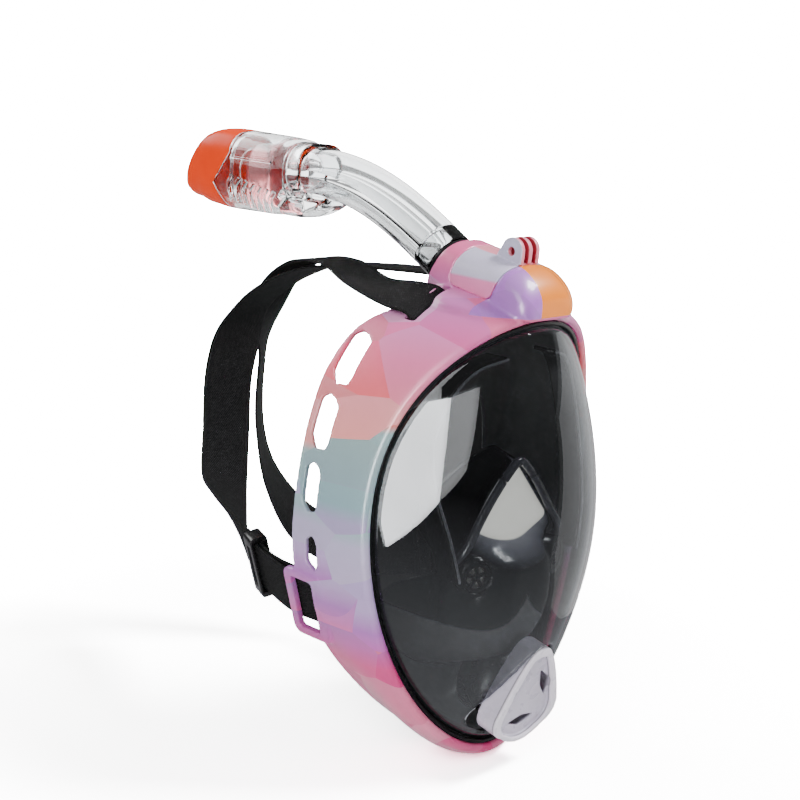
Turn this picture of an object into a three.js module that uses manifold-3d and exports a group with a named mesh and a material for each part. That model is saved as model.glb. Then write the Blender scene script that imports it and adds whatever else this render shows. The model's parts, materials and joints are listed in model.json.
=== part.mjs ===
// A full face snorkel mask: lens and frame, silicone face skirt, orinasal pocket with its valves,
// a plug-in snorkel with a float valve at its dry top, and an elastic head harness.
//
// Axes: +X is the wearer's left, -Y is the way the wearer looks, +Z is up.
// The origin is the middle of the face seal. Millimetres.
import * as THREE from "three";
import { ParametricGeometry } from "three/addons/geometries/ParametricGeometry.js";
import { mergeVertices } from "three/addons/utils/BufferGeometryUtils.js";
import Module from "manifold-3d";

const wasm = await Module();
wasm.setup();

// ---------------------------------------------------------------- driving dimensions
const GAP = 0.35;

const RIM_HALF_WIDTH = 83.6;
const RIM_HALF_HEIGHT = 120;
const RIM_EGG = 0.15;
const RIM_MEAN_Y = -54;
const RIM_SIDE_WRAP = 14;
const RIM_LEAN = 3.5;
const RIM_TWIST = 2.5;
const RIM_SQUARENESS = 2;
const RIM_STEPS = 44;

const LENS_FRONT_Y = -104;
const LENS_POWER = 2.4;
const LENS_THICKNESS = 2.5;

const BEZEL_INNER = 2.6;
const BEZEL_OUTER = 9;
const FLANGE_THICKNESS = 3;
const FLANGE_SWELL = 5;

const TUBE_WIDTH = 32;
const TUBE_HEIGHT = 29;
const TUBE_WALL = 2;
const SOCKET_MOUTH = new THREE.Vector3(0, -13, 143.5);
const SOCKET_TILT = THREE.MathUtils.degToRad(30);
const SOCKET_DEPTH = 24;

const FINGER_THICKNESS = 3;
const FINGER_PITCH = 6.2;
const FINGER_RADIUS = 7.5;
const FINGER_HOLE_RADIUS = 2.5;

const STRAP_WIDTH = 30;
const STRAP_THICKNESS = 1.6;

const VALVE_RADIUS = 8.5;
const FLAP_RADIUS = 6.6;

// ---------------------------------------------------------------- solids
function solidOf(geometry) {
  const bare = geometry.clone();
  bare.deleteAttribute("normal");
  bare.deleteAttribute("uv");
  const merged = mergeVertices(bare, 1e-3);
  const position = merged.attributes.position;
  const triangles = [];
  let volume = 0;
  for (let i = 0; i < merged.index.count; i += 3) {
    const [a, b, c] = [0, 1, 2].map((k) => merged.index.getX(i + k));
    if (a === b || b === c || c === a) continue;
    triangles.push(a, b, c);
    const [p, q, r] = [a, b, c].map((k) => new THREE.Vector3().fromBufferAttribute(position, k));
    volume += p.dot(q.cross(r));
  }
  if (volume < 0) triangles.reverse();
  return new wasm.Manifold(new wasm.Mesh({
    numProp: 3,
    vertProperties: new Float32Array(position.array),
    triVerts: new Uint32Array(triangles),
  }));
}

function geometryOf(solid) {
  const made = solid.getMesh();
  const geometry = new THREE.BufferGeometry();
  geometry.setAttribute("position", new THREE.BufferAttribute(made.vertProperties, 3));
  geometry.setIndex(new THREE.BufferAttribute(made.triVerts, 1));
  geometry.computeVertexNormals();
  return geometry;
}

const union = (...solids) => solids.reduce((a, b) => a.add(b));
const cut = (solid, ...tools) => tools.reduce((a, b) => a.subtract(b), solid);

// A closed skin over rows of points. A row is a ring of points, or one point where the skin closes.
function skin(rows) {
  const around = Math.max(...rows.map((row) => row.length));
  const last = rows.length - 1;
  return solidOf(new ParametricGeometry((u, v, target) => {
    const row = rows[Math.round(v * last)];
    target.copy(row[Math.round(u * around) % row.length]);
  }, around, last));
}

function middleOf(ring) {
  const sum = new THREE.Vector3();
  ring.forEach((p) => sum.add(p));
  return sum.divideScalar(ring.length);
}

const capped = (rings) => skin([[middleOf(rings[0])], ...rings, [middleOf(rings.at(-1))]]);
const looped = (rings) => skin([...rings, rings[0]]);

function placed(geometry, position, rotation = [0, 0, 0]) {
  const turn = new THREE.Matrix4().makeRotationFromEuler(new THREE.Euler(...rotation));
  return solidOf(geometry.clone().applyMatrix4(turn).translate(position.x, position.y, position.z));
}

function range(count, low, high) {
  return Array.from({ length: count }, (_, i) => low + ((high - low) * i) / (count - 1));
}

// ---------------------------------------------------------------- the lens rim
// t runs once round the rim from the forehead, by the wearer's left, to the chin and back.
function rimPoint(t) {
  const x = RIM_HALF_WIDTH * Math.sin(t) * (1 + RIM_EGG * Math.cos(t));
  const wrap = RIM_SIDE_WRAP * Math.cos(2 * t) + RIM_SQUARENESS * Math.cos(4 * t);
  const lean = RIM_LEAN * Math.cos(t) + RIM_TWIST * Math.cos(3 * t);
  const y = RIM_MEAN_Y - wrap - lean;
  return new THREE.Vector3(x, y, RIM_HALF_HEIGHT * Math.cos(t));
}

function rimOutward(t) {
  const step = 1e-3;
  const ahead = rimPoint(t + step).sub(rimPoint(t - step));
  return new THREE.Vector3(-ahead.z, 0, ahead.x).normalize();
}

// A point beside the rim: out millimetres away from the lens, back millimetres towards the face.
function besideRim(t, out, back) {
  const p = rimPoint(t).addScaledVector(rimOutward(t), out);
  p.y += back;
  return p;
}

const rimAngles = Array.from({ length: RIM_STEPS }, (_, i) => (2 * Math.PI * i) / RIM_STEPS);

// ---------------------------------------------------------------- lens
function lensPoint(t, r, depth) {
  const rim = rimPoint(t);
  const swell = r ** LENS_POWER;
  const y = LENS_FRONT_Y + (rim.y - LENS_FRONT_Y) * swell + depth;
  return new THREE.Vector3(rim.x * r, y, rim.z * r);
}

const VENT_TOP = -54;
const VENT_LOW = -99;
const VENT_BOTTOM = -115;
const VENT_HALF_WIDTH = 26;

// The rounded triangle of the chin vent, seen from the front, grown by a margin.
function ventOutline(margin) {
  const shape = new THREE.Shape();
  const w = VENT_HALF_WIDTH + margin;
  const top = VENT_TOP + margin;
  const bottom = VENT_BOTTOM - margin;
  shape.moveTo(-6, top - 2);
  shape.quadraticCurveTo(0, top + 1, 6, top - 2);
  shape.quadraticCurveTo(w * 0.62, top - 12, w, VENT_LOW + 5);
  shape.quadraticCurveTo(w + 2, VENT_LOW - 5, w - 8, VENT_LOW - 9);
  shape.quadraticCurveTo(0, bottom - 6, -w + 8, VENT_LOW - 9);
  shape.quadraticCurveTo(-w - 2, VENT_LOW - 5, -w, VENT_LOW + 5);
  shape.quadraticCurveTo(-w * 0.62, top - 12, -6, top - 2);
  return shape;
}

// A shape drawn in X and Z, given a thickness along Y from front to back.
function plate(shape, front, back, segments = 8) {
  const flat = new THREE.ExtrudeGeometry(shape, {
    depth: back - front,
    bevelEnabled: false,
    curveSegments: segments,
  });
  return solidOf(flat.rotateX(Math.PI / 2).translate(0, back, 0));
}

function makeLens() {
  const outer = range(7, 0.14, 0.992).map((r) => rimAngles.map((t) => lensPoint(t, r, 0)));
  const inner = range(6, 0.992, 0.16).map((r) =>
    rimAngles.map((t) => lensPoint(t, r, LENS_THICKNESS)));
  const front = new THREE.Vector3(0, LENS_FRONT_Y, 0);
  const back = new THREE.Vector3(0, LENS_FRONT_Y + LENS_THICKNESS, 0);
  const shell = skin([[front], ...outer, ...inner, [back]]);
  return cut(shell, plate(ventOutline(1.2), -130, -40));
}

function makeGasket() {
  const section = [[0.3, -0.8], [2.2, -1.2], [2.2, 4.8], [-4, 4.8], [-4, 3.6], [0.3, 3.2]];
  return looped(rimAngles.map((t) => section.map(([out, back]) => besideRim(t, out, back))));
}

// ---------------------------------------------------------------- frame with its flanges
// Where the flange ends, every 15 degrees from the crown to the chin: [how far back, how far out].
const FLANGE_END = [
  [-34, 14], [-22, 14.5], [-1, 15], [5, 14], [5, 12.5], [4, 13], [5, 14],
  [3, 14.5], [-6, 12], [-13, 8], [-20, 6], [-28, 7], [-34, 8],
];
const flangeCurve = new THREE.SplineCurve(FLANGE_END.map(([y, out]) => new THREE.Vector2(y, out)));

function flangeEnd(t) {
  const half = Math.acos(Math.cos(t)) / Math.PI;
  const end = flangeCurve.getPoint(half);
  return { y: end.x, out: end.y };
}

// The frame's section at t: a lip in front of the lens edge, then the flange swept back.
function frameSection(t) {
  const end = flangeEnd(t);
  const run = end.y - rimPoint(t).y;
  const sweep = new THREE.CubicBezierCurve(
    new THREE.Vector2(BEZEL_OUTER, 1),
    new THREE.Vector2(BEZEL_OUTER + FLANGE_SWELL, run * 0.35),
    new THREE.Vector2(end.out, run * 0.6),
    new THREE.Vector2(end.out, run),
  );
  const outer = sweep.getPoints(4).map((p) => [p.x, p.y]);
  const inner = outer.map(([out, back]) => [out - FLANGE_THICKNESS, back]).reverse();
  inner.pop();
  const lip = [[BEZEL_INNER, 4], [BEZEL_INNER, -2.6], [5.5, -3.4], [8, -1.6]];
  const section = [...lip, ...outer, ...inner, [BEZEL_OUTER - 3.6, 4.2]];
  return section.map(([out, back]) => besideRim(t, out, back));
}

// Puts a geometry drawn in (along the rim, back, outward) at rim angle t.
function atRim(geometry, t, out, y) {
  const origin = rimPoint(t).addScaledVector(rimOutward(t), out);
  origin.y = y;
  const outward = rimOutward(t);
  const back = new THREE.Vector3(0, 1, 0);
  const along = back.clone().cross(outward);
  const basis = new THREE.Matrix4().makeBasis(along, back, outward).setPosition(origin);
  return solidOf(geometry.clone().applyMatrix4(basis));
}

function roundedRect(shape, x0, y0, x1, y1, r) {
  shape.moveTo(x0 + r, y0);
  shape.lineTo(x1 - r, y0);
  shape.absarc(x1 - r, y0 + r, r, -Math.PI / 2, 0);
  shape.lineTo(x1, y1 - r);
  shape.absarc(x1 - r, y1 - r, r, 0, Math.PI / 2);
  shape.lineTo(x0 + r, y1);
  shape.absarc(x0 + r, y1 - r, r, Math.PI / 2, Math.PI);
  shape.lineTo(x0, y0 + r);
  shape.absarc(x0 + r, y0 + r, r, Math.PI, 1.5 * Math.PI);
  return shape;
}

function prism(shape, low, high, segments = 3) {
  const made = new THREE.ExtrudeGeometry(shape, {
    depth: high - low,
    bevelEnabled: false,
    curveSegments: segments,
  });
  return made.translate(0, 0, low);
}

// Weight-saving windows along each flange, from the crown down.
const WINDOWS = [
  { angle: 41.5, length: 33, depth: 15, margin: 4.5, slant: 5 },
  { angle: 59.5, length: 30, depth: 14, margin: 5, slant: 4 },
  { angle: 76, length: 27, depth: 11, margin: 6, slant: 2 },
  { angle: 92, length: 20, depth: 8, margin: 11, slant: 1 },
];

// Their slanted eight-sided outline, from the window's front edge (0) back to its depth.
function windowCutter(side, { angle, length, depth, margin, slant }) {
  const t = side * THREE.MathUtils.degToRad(angle);
  const half = length / 2;
  const outline = [
    [-half + 2, slant], [-half, depth - 4], [-half + 3, depth], [half - slant - 3, depth],
    [half, depth - 5], [half - 1, 1], [half - 5, 0], [-half + 6, 0],
  ];
  const shape = new THREE.Shape(outline.map(([along, back]) => new THREE.Vector2(side * along, back)));
  return atRim(prism(shape, -22, 16), t, 13, flangeEnd(t).y - margin - depth);
}

// The ear on each side of the jaw that the lower strap loops through.
const EAR_ANGLE = THREE.MathUtils.degToRad(107.5);
const EAR_OUT = 14;
const EAR_BACK = 14;
const EAR_FRONT = -16;
const EAR_HALF = 21.5;
const EAR_BAR_OUT = -9.7;
const EAR_SLOT = { front: -8, back: 8.5, half: 16.5 };

function ear(side) {
  const shape = roundedRect(new THREE.Shape(), -EAR_HALF, EAR_FRONT, EAR_HALF, EAR_BACK, 5);
  return atRim(prism(shape, -4, 0), side * EAR_ANGLE, EAR_OUT, 0);
}

// The bar inside the ear that the strap turns round, on a post at each end.
function earBar(side) {
  const bar = new THREE.BoxGeometry(38, 3, 2).translate(0, -6.5, EAR_BAR_OUT);
  const posts = [-1, 1].map((end) =>
    new THREE.BoxGeometry(2.4, 3, 9).translate(end * 17.8, -6.5, EAR_BAR_OUT + 3.6));
  return union(...[bar, ...posts].map((g) => atRim(g, side * EAR_ANGLE, EAR_OUT, 0)));
}

function earSlot(side) {
  const { front, back, half } = EAR_SLOT;
  const shape = roundedRect(new THREE.Shape(), -half, front, half, back, 1.5);
  return atRim(prism(shape, -20, 8), side * EAR_ANGLE, EAR_OUT, 0);
}

// The slot beside the crown that each upper strap loops through.
const CROWN_ANGLE = THREE.MathUtils.degToRad(18.5);

function crownSlot(side) {
  const shape = roundedRect(new THREE.Shape(), -16.2, -13.2, 16.2, -6, 1.5);
  return atRim(prism(shape, -14, 10), side * CROWN_ANGLE, 14, flangeEnd(CROWN_ANGLE).y);
}

// The housing over the brow: [y, z, tilt, width, height] from the brow back to the socket's mouth.
const HOUSING = [
  [-83, 130, 0, 24, 10], [-80.5, 132, 0, 33, 17], [-75, 135, 0, 42, 24], [-68, 137, 0, 46, 27],
  [-59, 138, 5, 47, 27], [-47, 139, 13, 46, 31], [-32, 140, 22, 44, 34], [-13, 143.5, 30, 40, 36],
];

function ovalRing([y, z, tilt, width, height], power = 2.6, count = 22) {
  const a = THREE.MathUtils.degToRad(tilt);
  const up = new THREE.Vector3(0, -Math.sin(a), Math.cos(a));
  return Array.from({ length: count }, (_, i) => {
    const angle = (2 * Math.PI * i) / count;
    const bulge = (v) => Math.sign(v) * Math.abs(v) ** (2 / power);
    const p = new THREE.Vector3((width / 2) * bulge(Math.cos(angle)), y, z);
    return p.addScaledVector(up, (height / 2) * bulge(Math.sin(angle)));
  });
}

const ovalLoft = (sections, power, count) =>
  capped(sections.map((section) => ovalRing(section, power, count)));

function housingLoft(inset) {
  return ovalLoft(HOUSING.map(([y, z, tilt, w, h]) => [y, z, tilt, w - 2 * inset, h - 2 * inset]));
}

// A solid with a constant outline in Y and Z, reaching half a width to each side.
function slab(outline, low, high) {
  const shape = new THREE.Shape(outline.map(([y, z]) => new THREE.Vector2(y, z)));
  const flat = prism(shape, low, high);
  return solidOf(flat.applyMatrix4(new THREE.Matrix4().makeBasis(
    new THREE.Vector3(0, 1, 0), new THREE.Vector3(0, 0, 1), new THREE.Vector3(1, 0, 0))));
}

const COVER_OUTLINE = [[-27, 137], [-36, 172], [-67, 172], [-63, 144], [-58, 132]];
const COVER_THICKNESS = 2.4;

function coverZone(margin) {
  const middle = new THREE.Vector2(-48, 150);
  const grown = COVER_OUTLINE.map(([y, z]) => {
    const p = new THREE.Vector2(y, z).sub(middle);
    return p.setLength(p.length() + margin).add(middle).toArray();
  });
  return slab(grown, -40, 40);
}

// A point on the snorkel's plug axis, s millimetres out of the socket's mouth.
function onSocketAxis(s) {
  const axis = new THREE.Vector3(0, Math.cos(SOCKET_TILT), Math.sin(SOCKET_TILT));
  return SOCKET_MOUTH.clone().addScaledVector(axis, s);
}

function socketOval(s, width, height) {
  const p = onSocketAxis(s);
  return [p.y, p.z, THREE.MathUtils.radToDeg(SOCKET_TILT), width, height];
}

const socketTube = (from, to, width, height) =>
  ovalLoft([socketOval(from, width, height), socketOval(to, width, height)], 2.2, 22);

function airway() {
  const bore = socketTube(-SOCKET_DEPTH, 8, TUBE_WIDTH + 0.6, TUBE_HEIGHT + 0.6);
  const throat = ovalLoft([
    [-30, 135, 25, 28, 20], [-48, 131, 30, 26, 16], [-58, 118, 70, 26, 14], [-60, 105, 85, 26, 14],
  ], 2.2, 20);
  return union(bore, throat);
}

const SCREW_ANGLES = [38, 128, 232, 322].map((a) => THREE.MathUtils.degToRad(a));
const SCREW_OUT = 4.6;
const SCREW_BACK = 2.6;
const BOSS_RADIUS = 2.8;

function alongY(radius, from, to, x, z, segments = 20) {
  const rod = new THREE.CylinderGeometry(radius, radius, to - from, segments);
  return solidOf(rod.translate(x, (from + to) / 2, z));
}

function makeFrame() {
  const ring = looped(rimAngles.map(frameSection));
  const lensRoom = looped(rimAngles.map((t) =>
    [[-30, -30], [BEZEL_INNER, -30], [BEZEL_INNER, 30], [-30, 30]].map(([out, back]) =>
      besideRim(t, out, back))));
  const below = slab([[-96, 80], [-96, 122.5], [-77, 126.5], [-8, 128], [-8, 80]], -60, 60);
  const housing = cut(housingLoft(0), lensRoom, below);
  const coverPocket = cut(coverZone(GAP), housingLoft(COVER_THICKNESS + GAP));
  const bosses = SCREW_ANGLES.map((t) => {
    const p = besideRim(t, SCREW_OUT, 0);
    return alongY(BOSS_RADIUS, p.y + 1, p.y + 7, p.x, p.z, 12);
  });
  const holes = SCREW_ANGLES.map((t) => {
    const p = besideRim(t, SCREW_OUT, 0);
    return alongY(1.45, p.y + 1.5, p.y + 30, p.x, p.z, 12);
  });
  const body = union(ring, housing, ear(1), ear(-1), ...bosses);
  const bars = [earBar(1), earBar(-1)];
  const windows = [1, -1].flatMap((side) => WINDOWS.map((w) => windowCutter(side, w)));
  const shaped = cut(body, lensRoom, coverPocket, airway(), crownSlot(1), crownSlot(-1),
    earSlot(1), earSlot(-1), ...windows, ...holes);
  return union(shaped, ...bars);
}

// ---------------------------------------------------------------- camera mount
const FINGER_HOLE = { y: -58, z: 157.5 };

function fingerShape() {
  const { y, z } = FINGER_HOLE;
  const shape = new THREE.Shape();
  shape.moveTo(y + 14, z - 10);
  shape.lineTo(y + 5, z + 5.6);
  shape.absarc(y, z, FINGER_RADIUS, 0.85, Math.PI - 0.15);
  shape.lineTo(y - 6.6, z - 12);
  const hole = new THREE.Path();
  hole.absarc(y, z, FINGER_HOLE_RADIUS, 0, 2 * Math.PI, true);
  shape.holes.push(hole);
  return shape;
}

function makeCameraMount() {
  const saddle = cut(housingLoft(0).intersect(coverZone(0)), housingLoft(COVER_THICKNESS));
  const toWorld = new THREE.Matrix4().makeBasis(
    new THREE.Vector3(0, 1, 0), new THREE.Vector3(0, 0, 1), new THREE.Vector3(1, 0, 0));
  const fingers = [-1, 0, 1].map((i) => {
    const middle = i * FINGER_PITCH;
    const plateGeometry = prism(fingerShape(), middle - FINGER_THICKNESS / 2,
      middle + FINGER_THICKNESS / 2, 8);
    return cut(solidOf(plateGeometry.applyMatrix4(toWorld)), housingLoft(COVER_THICKNESS / 2));
  });
  const brow = cut(housingLoft(-GAP), coverZone(0));
  return cut(union(saddle, ...fingers), brow);
}

// ---------------------------------------------------------------- face skirt and its retainer
function sealY(t) {
  return -7.5 - 13.5 * Math.cos(2 * t);
}

function makeSkirt() {
  return looped(rimAngles.map((t) => {
    const depth = sealY(t) - rimPoint(t).y;
    const section = [
      [1.8, 5.2], [1.2, 8], [-2, 8.4], [-4, depth * 0.5], [-9, depth - 3], [-17, depth],
      [-27, depth - 2], [-27, depth - 4], [-18, depth - 2.6], [-11, depth - 5.5],
      [-6.4, depth * 0.5], [-6, 5.2],
    ];
    return section.map(([out, back]) => besideRim(t, out, back));
  }));
}

function makeRetainer() {
  const ring = looped(rimAngles.map((t) =>
    [[-1, 9], [1.5, 8.6], [4.6, 8.6], [4.6, 10.6], [-1.5, 10.6]].map(([out, back]) =>
      besideRim(t, out, back))));
  const flange = looped(rimAngles.map((t) =>
    frameSection(t).map((p) => p.addScaledVector(rimOutward(t), -GAP * 1.4))));
  const at = SCREW_ANGLES.map((t) => besideRim(t, SCREW_OUT, 0));
  const lugs = at.map((p) => alongY(3, p.y + 8.6, p.y + 10.6, p.x, p.z, 14));
  const holes = at.map((p) => alongY(1.5, p.y, p.y + 20, p.x, p.z, 12));
  return cut(union(ring, ...lugs), flange, ...holes);
}

function makeScrew() {
  const profile = [[0, 0], [1.1, 0], [1.1, 9], [1.75, 9], [1.75, 10], [1.2, 10.5], [0, 10.5]];
  return solidOf(new THREE.LatheGeometry(profile.map(([r, y]) => new THREE.Vector2(r, y)), 12));
}

// ---------------------------------------------------------------- orinasal pocket
const POCKET = { halfWidth: 44, halfHeight: 68, middleZ: -20, frontY: -82, egg: 0.3, power: 4.5 };
const POCKET_WALL = 2;
const POCKET_STEPS = 32;

function pocketPoint(angle, r, depth) {
  const { halfWidth, halfHeight, middleZ, frontY, egg, power } = POCKET;
  const edgeY = -24.5 - 10.5 * Math.cos(2 * angle) - 13 * Math.cos(angle);
  const x = halfWidth * Math.sin(angle) * (1 - egg * Math.cos(angle)) * r;
  const y = frontY + (edgeY - frontY) * r ** power + depth;
  return new THREE.Vector3(x, y, middleZ + halfHeight * Math.cos(angle) * r);
}

// An intake valve on each side of the pocket, in a boss that faces forward and a little outward.
const INTAKE = { x: 33, y: -72, z: -15, turn: THREE.MathUtils.degToRad(20) };
const BOSS_DEPTH = 24;
const BOSS_WALL = 2;

function intakePlace(side) {
  const { x, y, z, turn } = INTAKE;
  return {
    centre: new THREE.Vector3(side * x, y, z),
    normal: new THREE.Vector3(side * Math.sin(turn), -Math.cos(turn), 0),
  };
}

// A rod about an intake valve's axis, from one distance outside its seat to another.
function intakeRod(side, radius, from, to) {
  const { centre, normal } = intakePlace(side);
  const rod = new THREE.CylinderGeometry(radius, radius, to - from, 24);
  const turn = new THREE.Quaternion().setFromUnitVectors(new THREE.Vector3(0, 1, 0), normal);
  const middle = centre.addScaledVector(normal, (from + to) / 2);
  return solidOf(rod.applyQuaternion(turn).translate(...middle.toArray()));
}

const CHIN_VALVE = { z: -86, front: -76, back: -52, radius: 17 };

function makePocket() {
  const angles = Array.from({ length: POCKET_STEPS }, (_, i) => (2 * Math.PI * i) / POCKET_STEPS);
  const outer = [0.3, 0.6, 0.78, 0.9, 1].map((r) =>
    angles.map((a) => pocketPoint(a, r, 0)));
  const inner = [0.955, 0.86, 0.74, 0.55, 0.3].map((r) =>
    angles.map((a) => pocketPoint(a, r, POCKET_WALL)));
  const top = new THREE.Vector3(0, POCKET.frontY, POCKET.middleZ);
  const under = top.clone().setY(POCKET.frontY + POCKET_WALL);
  const shell = skin([[top], ...outer, ...inner, [under]]);
  const room = skin([[middleOf(inner[0])], ...inner, [under]]);
  const sides = [1, -1];
  const bosses = sides.map((side) =>
    cut(intakeRod(side, VALVE_RADIUS + GAP + BOSS_WALL, -BOSS_DEPTH, 2), room));
  const bores = sides.map((side) =>
    intakeRod(side, VALVE_RADIUS + GAP, BOSS_WALL - BOSS_DEPTH, 20));
  const chin = alongY(CHIN_VALVE.radius + 2 + GAP, -95, -40, 0, CHIN_VALVE.z, 32);
  return cut(union(shell, ...bosses), ...bores, chin);
}

// A valve seat: a ring with spokes, drawn about +Y with its outer face up.
function makeSeat(radius, thickness, spokes) {
  const ring = new THREE.Shape();
  ring.absarc(0, 0, radius, 0, 2 * Math.PI);
  const bore = new THREE.Path();
  bore.absarc(0, 0, radius - 2.4, 0, 2 * Math.PI, true);
  ring.holes.push(bore);
  const upright = (geometry) => geometry.rotateX(-Math.PI / 2);
  const bars = Array.from({ length: spokes }, (_, i) => {
    const bar = new THREE.BoxGeometry(radius - 1.2, thickness, 1.5);
    return solidOf(bar.translate((radius - 1.2) / 2, thickness / 2, 0)
      .rotateY((2 * Math.PI * i) / spokes));
  });
  const hub = solidOf(new THREE.CylinderGeometry(1.6, 1.6, thickness, 12)
    .translate(0, thickness / 2, 0));
  return union(solidOf(upright(prism(ring, 0, thickness, 10))), hub, ...bars);
}

function makeFlap(radius) {
  const profile = [[0, 0], [radius, 0], [radius, 0.5], [radius * 0.3, 0.9], [0, 0.9]];
  return solidOf(new THREE.LatheGeometry(profile.map(([r, y]) => new THREE.Vector2(r, y)), 24));
}

// ---------------------------------------------------------------- eye chamber walls
// The silicone wall between the eye chamber and each outer exhaust channel, as seen from the front.
const WALL_ROUTE = [[50, -14], [56, 10], [61, 35], [60, 60], [51, 82], [37, 97], [20, 103]];
const WALL_THICKNESS = 2;

function lensDepthAt(x, z) {
  let t = Math.atan2(Math.abs(x), z);
  for (let i = 0; i < 20; i++) {
    const p = rimPoint(t);
    t += Math.atan2(Math.abs(x), z) - Math.atan2(p.x, p.z);
  }
  const rim = rimPoint(t);
  return lensPoint(t, Math.hypot(x, z) / Math.hypot(rim.x, rim.z), LENS_THICKNESS).y;
}

function makeEyeWall(side) {
  const route = new THREE.SplineCurve(WALL_ROUTE.map(([x, z]) => new THREE.Vector2(x, z)));
  const rings = range(15, 0, 1).map((u) => {
    const p = route.getPoint(u);
    const tangent = route.getTangent(u);
    const across = new THREE.Vector2(-tangent.y, tangent.x).multiplyScalar(WALL_THICKNESS / 2);
    const front = lensDepthAt(p.x, p.y) + 9;
    const back = sealY(Math.atan2(p.x, p.y)) - 8;
    return [[1, front], [-1, front], [-1, back], [1, back]].map(([k, y]) =>
      new THREE.Vector3(side * (p.x + k * across.x), y, p.y + k * across.y));
  });
  return capped(rings);
}

// ---------------------------------------------------------------- chin vent
const VENT_TILT = THREE.MathUtils.degToRad(6.5);

function makeVentCover() {
  const face = plate(ventOutline(0), -89, -79, 6);
  const room = plate(ventOutline(-2.4), -86.4, -70, 6);
  const slots = [0, 118, -118].map((turn) => {
    const bar = new THREE.BoxGeometry(20, 30, 2.2).translate(0, 0, -21);
    return solidOf(bar.rotateY(THREE.MathUtils.degToRad(turn)).translate(0, -84, -88));
  });
  return cut(face, room, ...slots);
}

function makeChinSeat() {
  const { front, back, radius } = CHIN_VALVE;
  const wall = new THREE.Shape();
  wall.absarc(0, 0, radius + 2, 0, 2 * Math.PI);
  const bore = new THREE.Path();
  bore.absarc(0, 0, radius, 0, 2 * Math.PI, true);
  wall.holes.push(bore);
  const tube = solidOf(prism(wall, 0, back - front, 14).rotateX(-Math.PI / 2));
  return union(tube, makeSeat(radius + 1, 2, 6));
}

// ---------------------------------------------------------------- snorkel
const TUBE_ROUTE = [[8, 155.6], [24, 164], [42, 172], [62, 178.5], [82, 182.2], [98, 183], [112, 182.4]];

function ovalShape(width, height) {
  const shape = new THREE.Shape();
  shape.absellipse(0, 0, width / 2, height / 2, 0, 2 * Math.PI);
  return shape;
}

// One of the tube's two air channels: half an oval, above or below the divider.
function channel(side) {
  const path = new THREE.Path();
  const width = TUBE_WIDTH / 2 - TUBE_WALL;
  const height = TUBE_HEIGHT / 2 - TUBE_WALL;
  const edge = 0.14;
  const from = side > 0 ? edge : Math.PI + edge;
  path.absellipse(0, 0, width, height, from, from + Math.PI - 2 * edge);
  return path;
}

function makeTube() {
  const start = onSocketAxis(5.2);
  const points = [[start.y, start.z], ...TUBE_ROUTE].map(([y, z]) => new THREE.Vector3(0, y, z));
  const shape = ovalShape(TUBE_WIDTH, TUBE_HEIGHT);
  shape.holes.push(channel(1), channel(-1));
  const tube = solidOf(new THREE.ExtrudeGeometry(shape, {
    steps: 14,
    curveSegments: 8,
    extrudePath: new THREE.CatmullRomCurve3(points),
  }));
  return cut(tube, socketTube(-2, 18, 28.2, 25.2));
}

function makePlug() {
  const sleeve = socketTube(-20, 0.4, TUBE_WIDTH - 0.2, TUBE_HEIGHT - 0.2);
  const neck = socketTube(-1, 5, 27, 24);
  const spigot = socketTube(4.8, 17, 27.4, 24.4);
  const groove = cut(socketTube(-12, -8.4, 44, 40), socketTube(-13, -7, 28.4, 25.4));
  return cut(union(sleeve, neck, spigot), groove, socketTube(-24, 24, 23.4, 20.4));
}

const makeORing = (from, to, inner, outer) =>
  cut(socketTube(from, to, outer, outer - 3), socketTube(from - 1, to + 1, inner, inner - 3));

// Dry top sections: [y, z, tilt, width, height].
const DRY_TOP = [
  [99, 182.5, 0, 37.5, 34.5], [110, 182, 0, 38, 35], [117, 180, 0, 40, 40], [125, 178, 0, 42, 47],
  [163, 178, 0, 42.6, 48.4],
];

function makeDryTop() {
  const shell = ovalLoft(DRY_TOP, 3, 22);
  const room = ovalLoft([
    [114, 181, 0, 34, 32], [119, 180, 0, 36, 36], [126, 178, 0, 38, 43], [168, 178, 0, 38.6, 44.4],
  ], 3, 22);
  const neck = ovalLoft([[90, 183, 0, 33, 30.6], [115, 182.4, 0, 33, 30.6]], 2, 22);
  return cut(shell, room, neck);
}

// The wedge cap over the inlet, hollow and open towards the dry top.
function makeCap() {
  const shell = ovalLoft([
    [163.4, 178, 0, 43.4, 49.4], [178, 178.3, 0, 43.4, 49], [191, 177.6, 0, 41.5, 43],
    [201, 173, 0, 38, 30], [207, 169, 0, 31, 15],
  ], 3.4, 22);
  const room = ovalLoft([
    [155, 178, 0, 38, 44], [176, 178.2, 0, 38, 43.5], [189, 177.4, 0, 36.5, 38],
    [198, 173.5, 0, 33, 26], [203, 170, 0, 27, 12],
  ], 3, 22);
  const inlets = [-1, 0, 1].map((i) =>
    placed(new THREE.BoxGeometry(7, 16, 14), new THREE.Vector3(i * 10, 180, 154)));
  return cut(shell, room, ...inlets);
}

function makeInletSeat() {
  const ring = ovalLoft([[157, 178, 0, 37.2, 42.8], [160.5, 178, 0, 37.2, 42.8]], 3, 22);
  const bore = ovalLoft([[150, 178, 0, 24, 28], [170, 178, 0, 24, 28]], 2.4, 22);
  return cut(ring, bore);
}

const makeFloat = () => ovalLoft([
  [124, 178, 0, 28, 32], [127, 178, 0, 33, 37], [144, 178, 0, 33, 37], [147, 178, 0, 30, 34],
], 3, 22);

const makeFloatSeal = () =>
  ovalLoft([[147.4, 178, 0, 30, 34], [149, 178, 0, 30, 34]], 2.6, 22);

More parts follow.
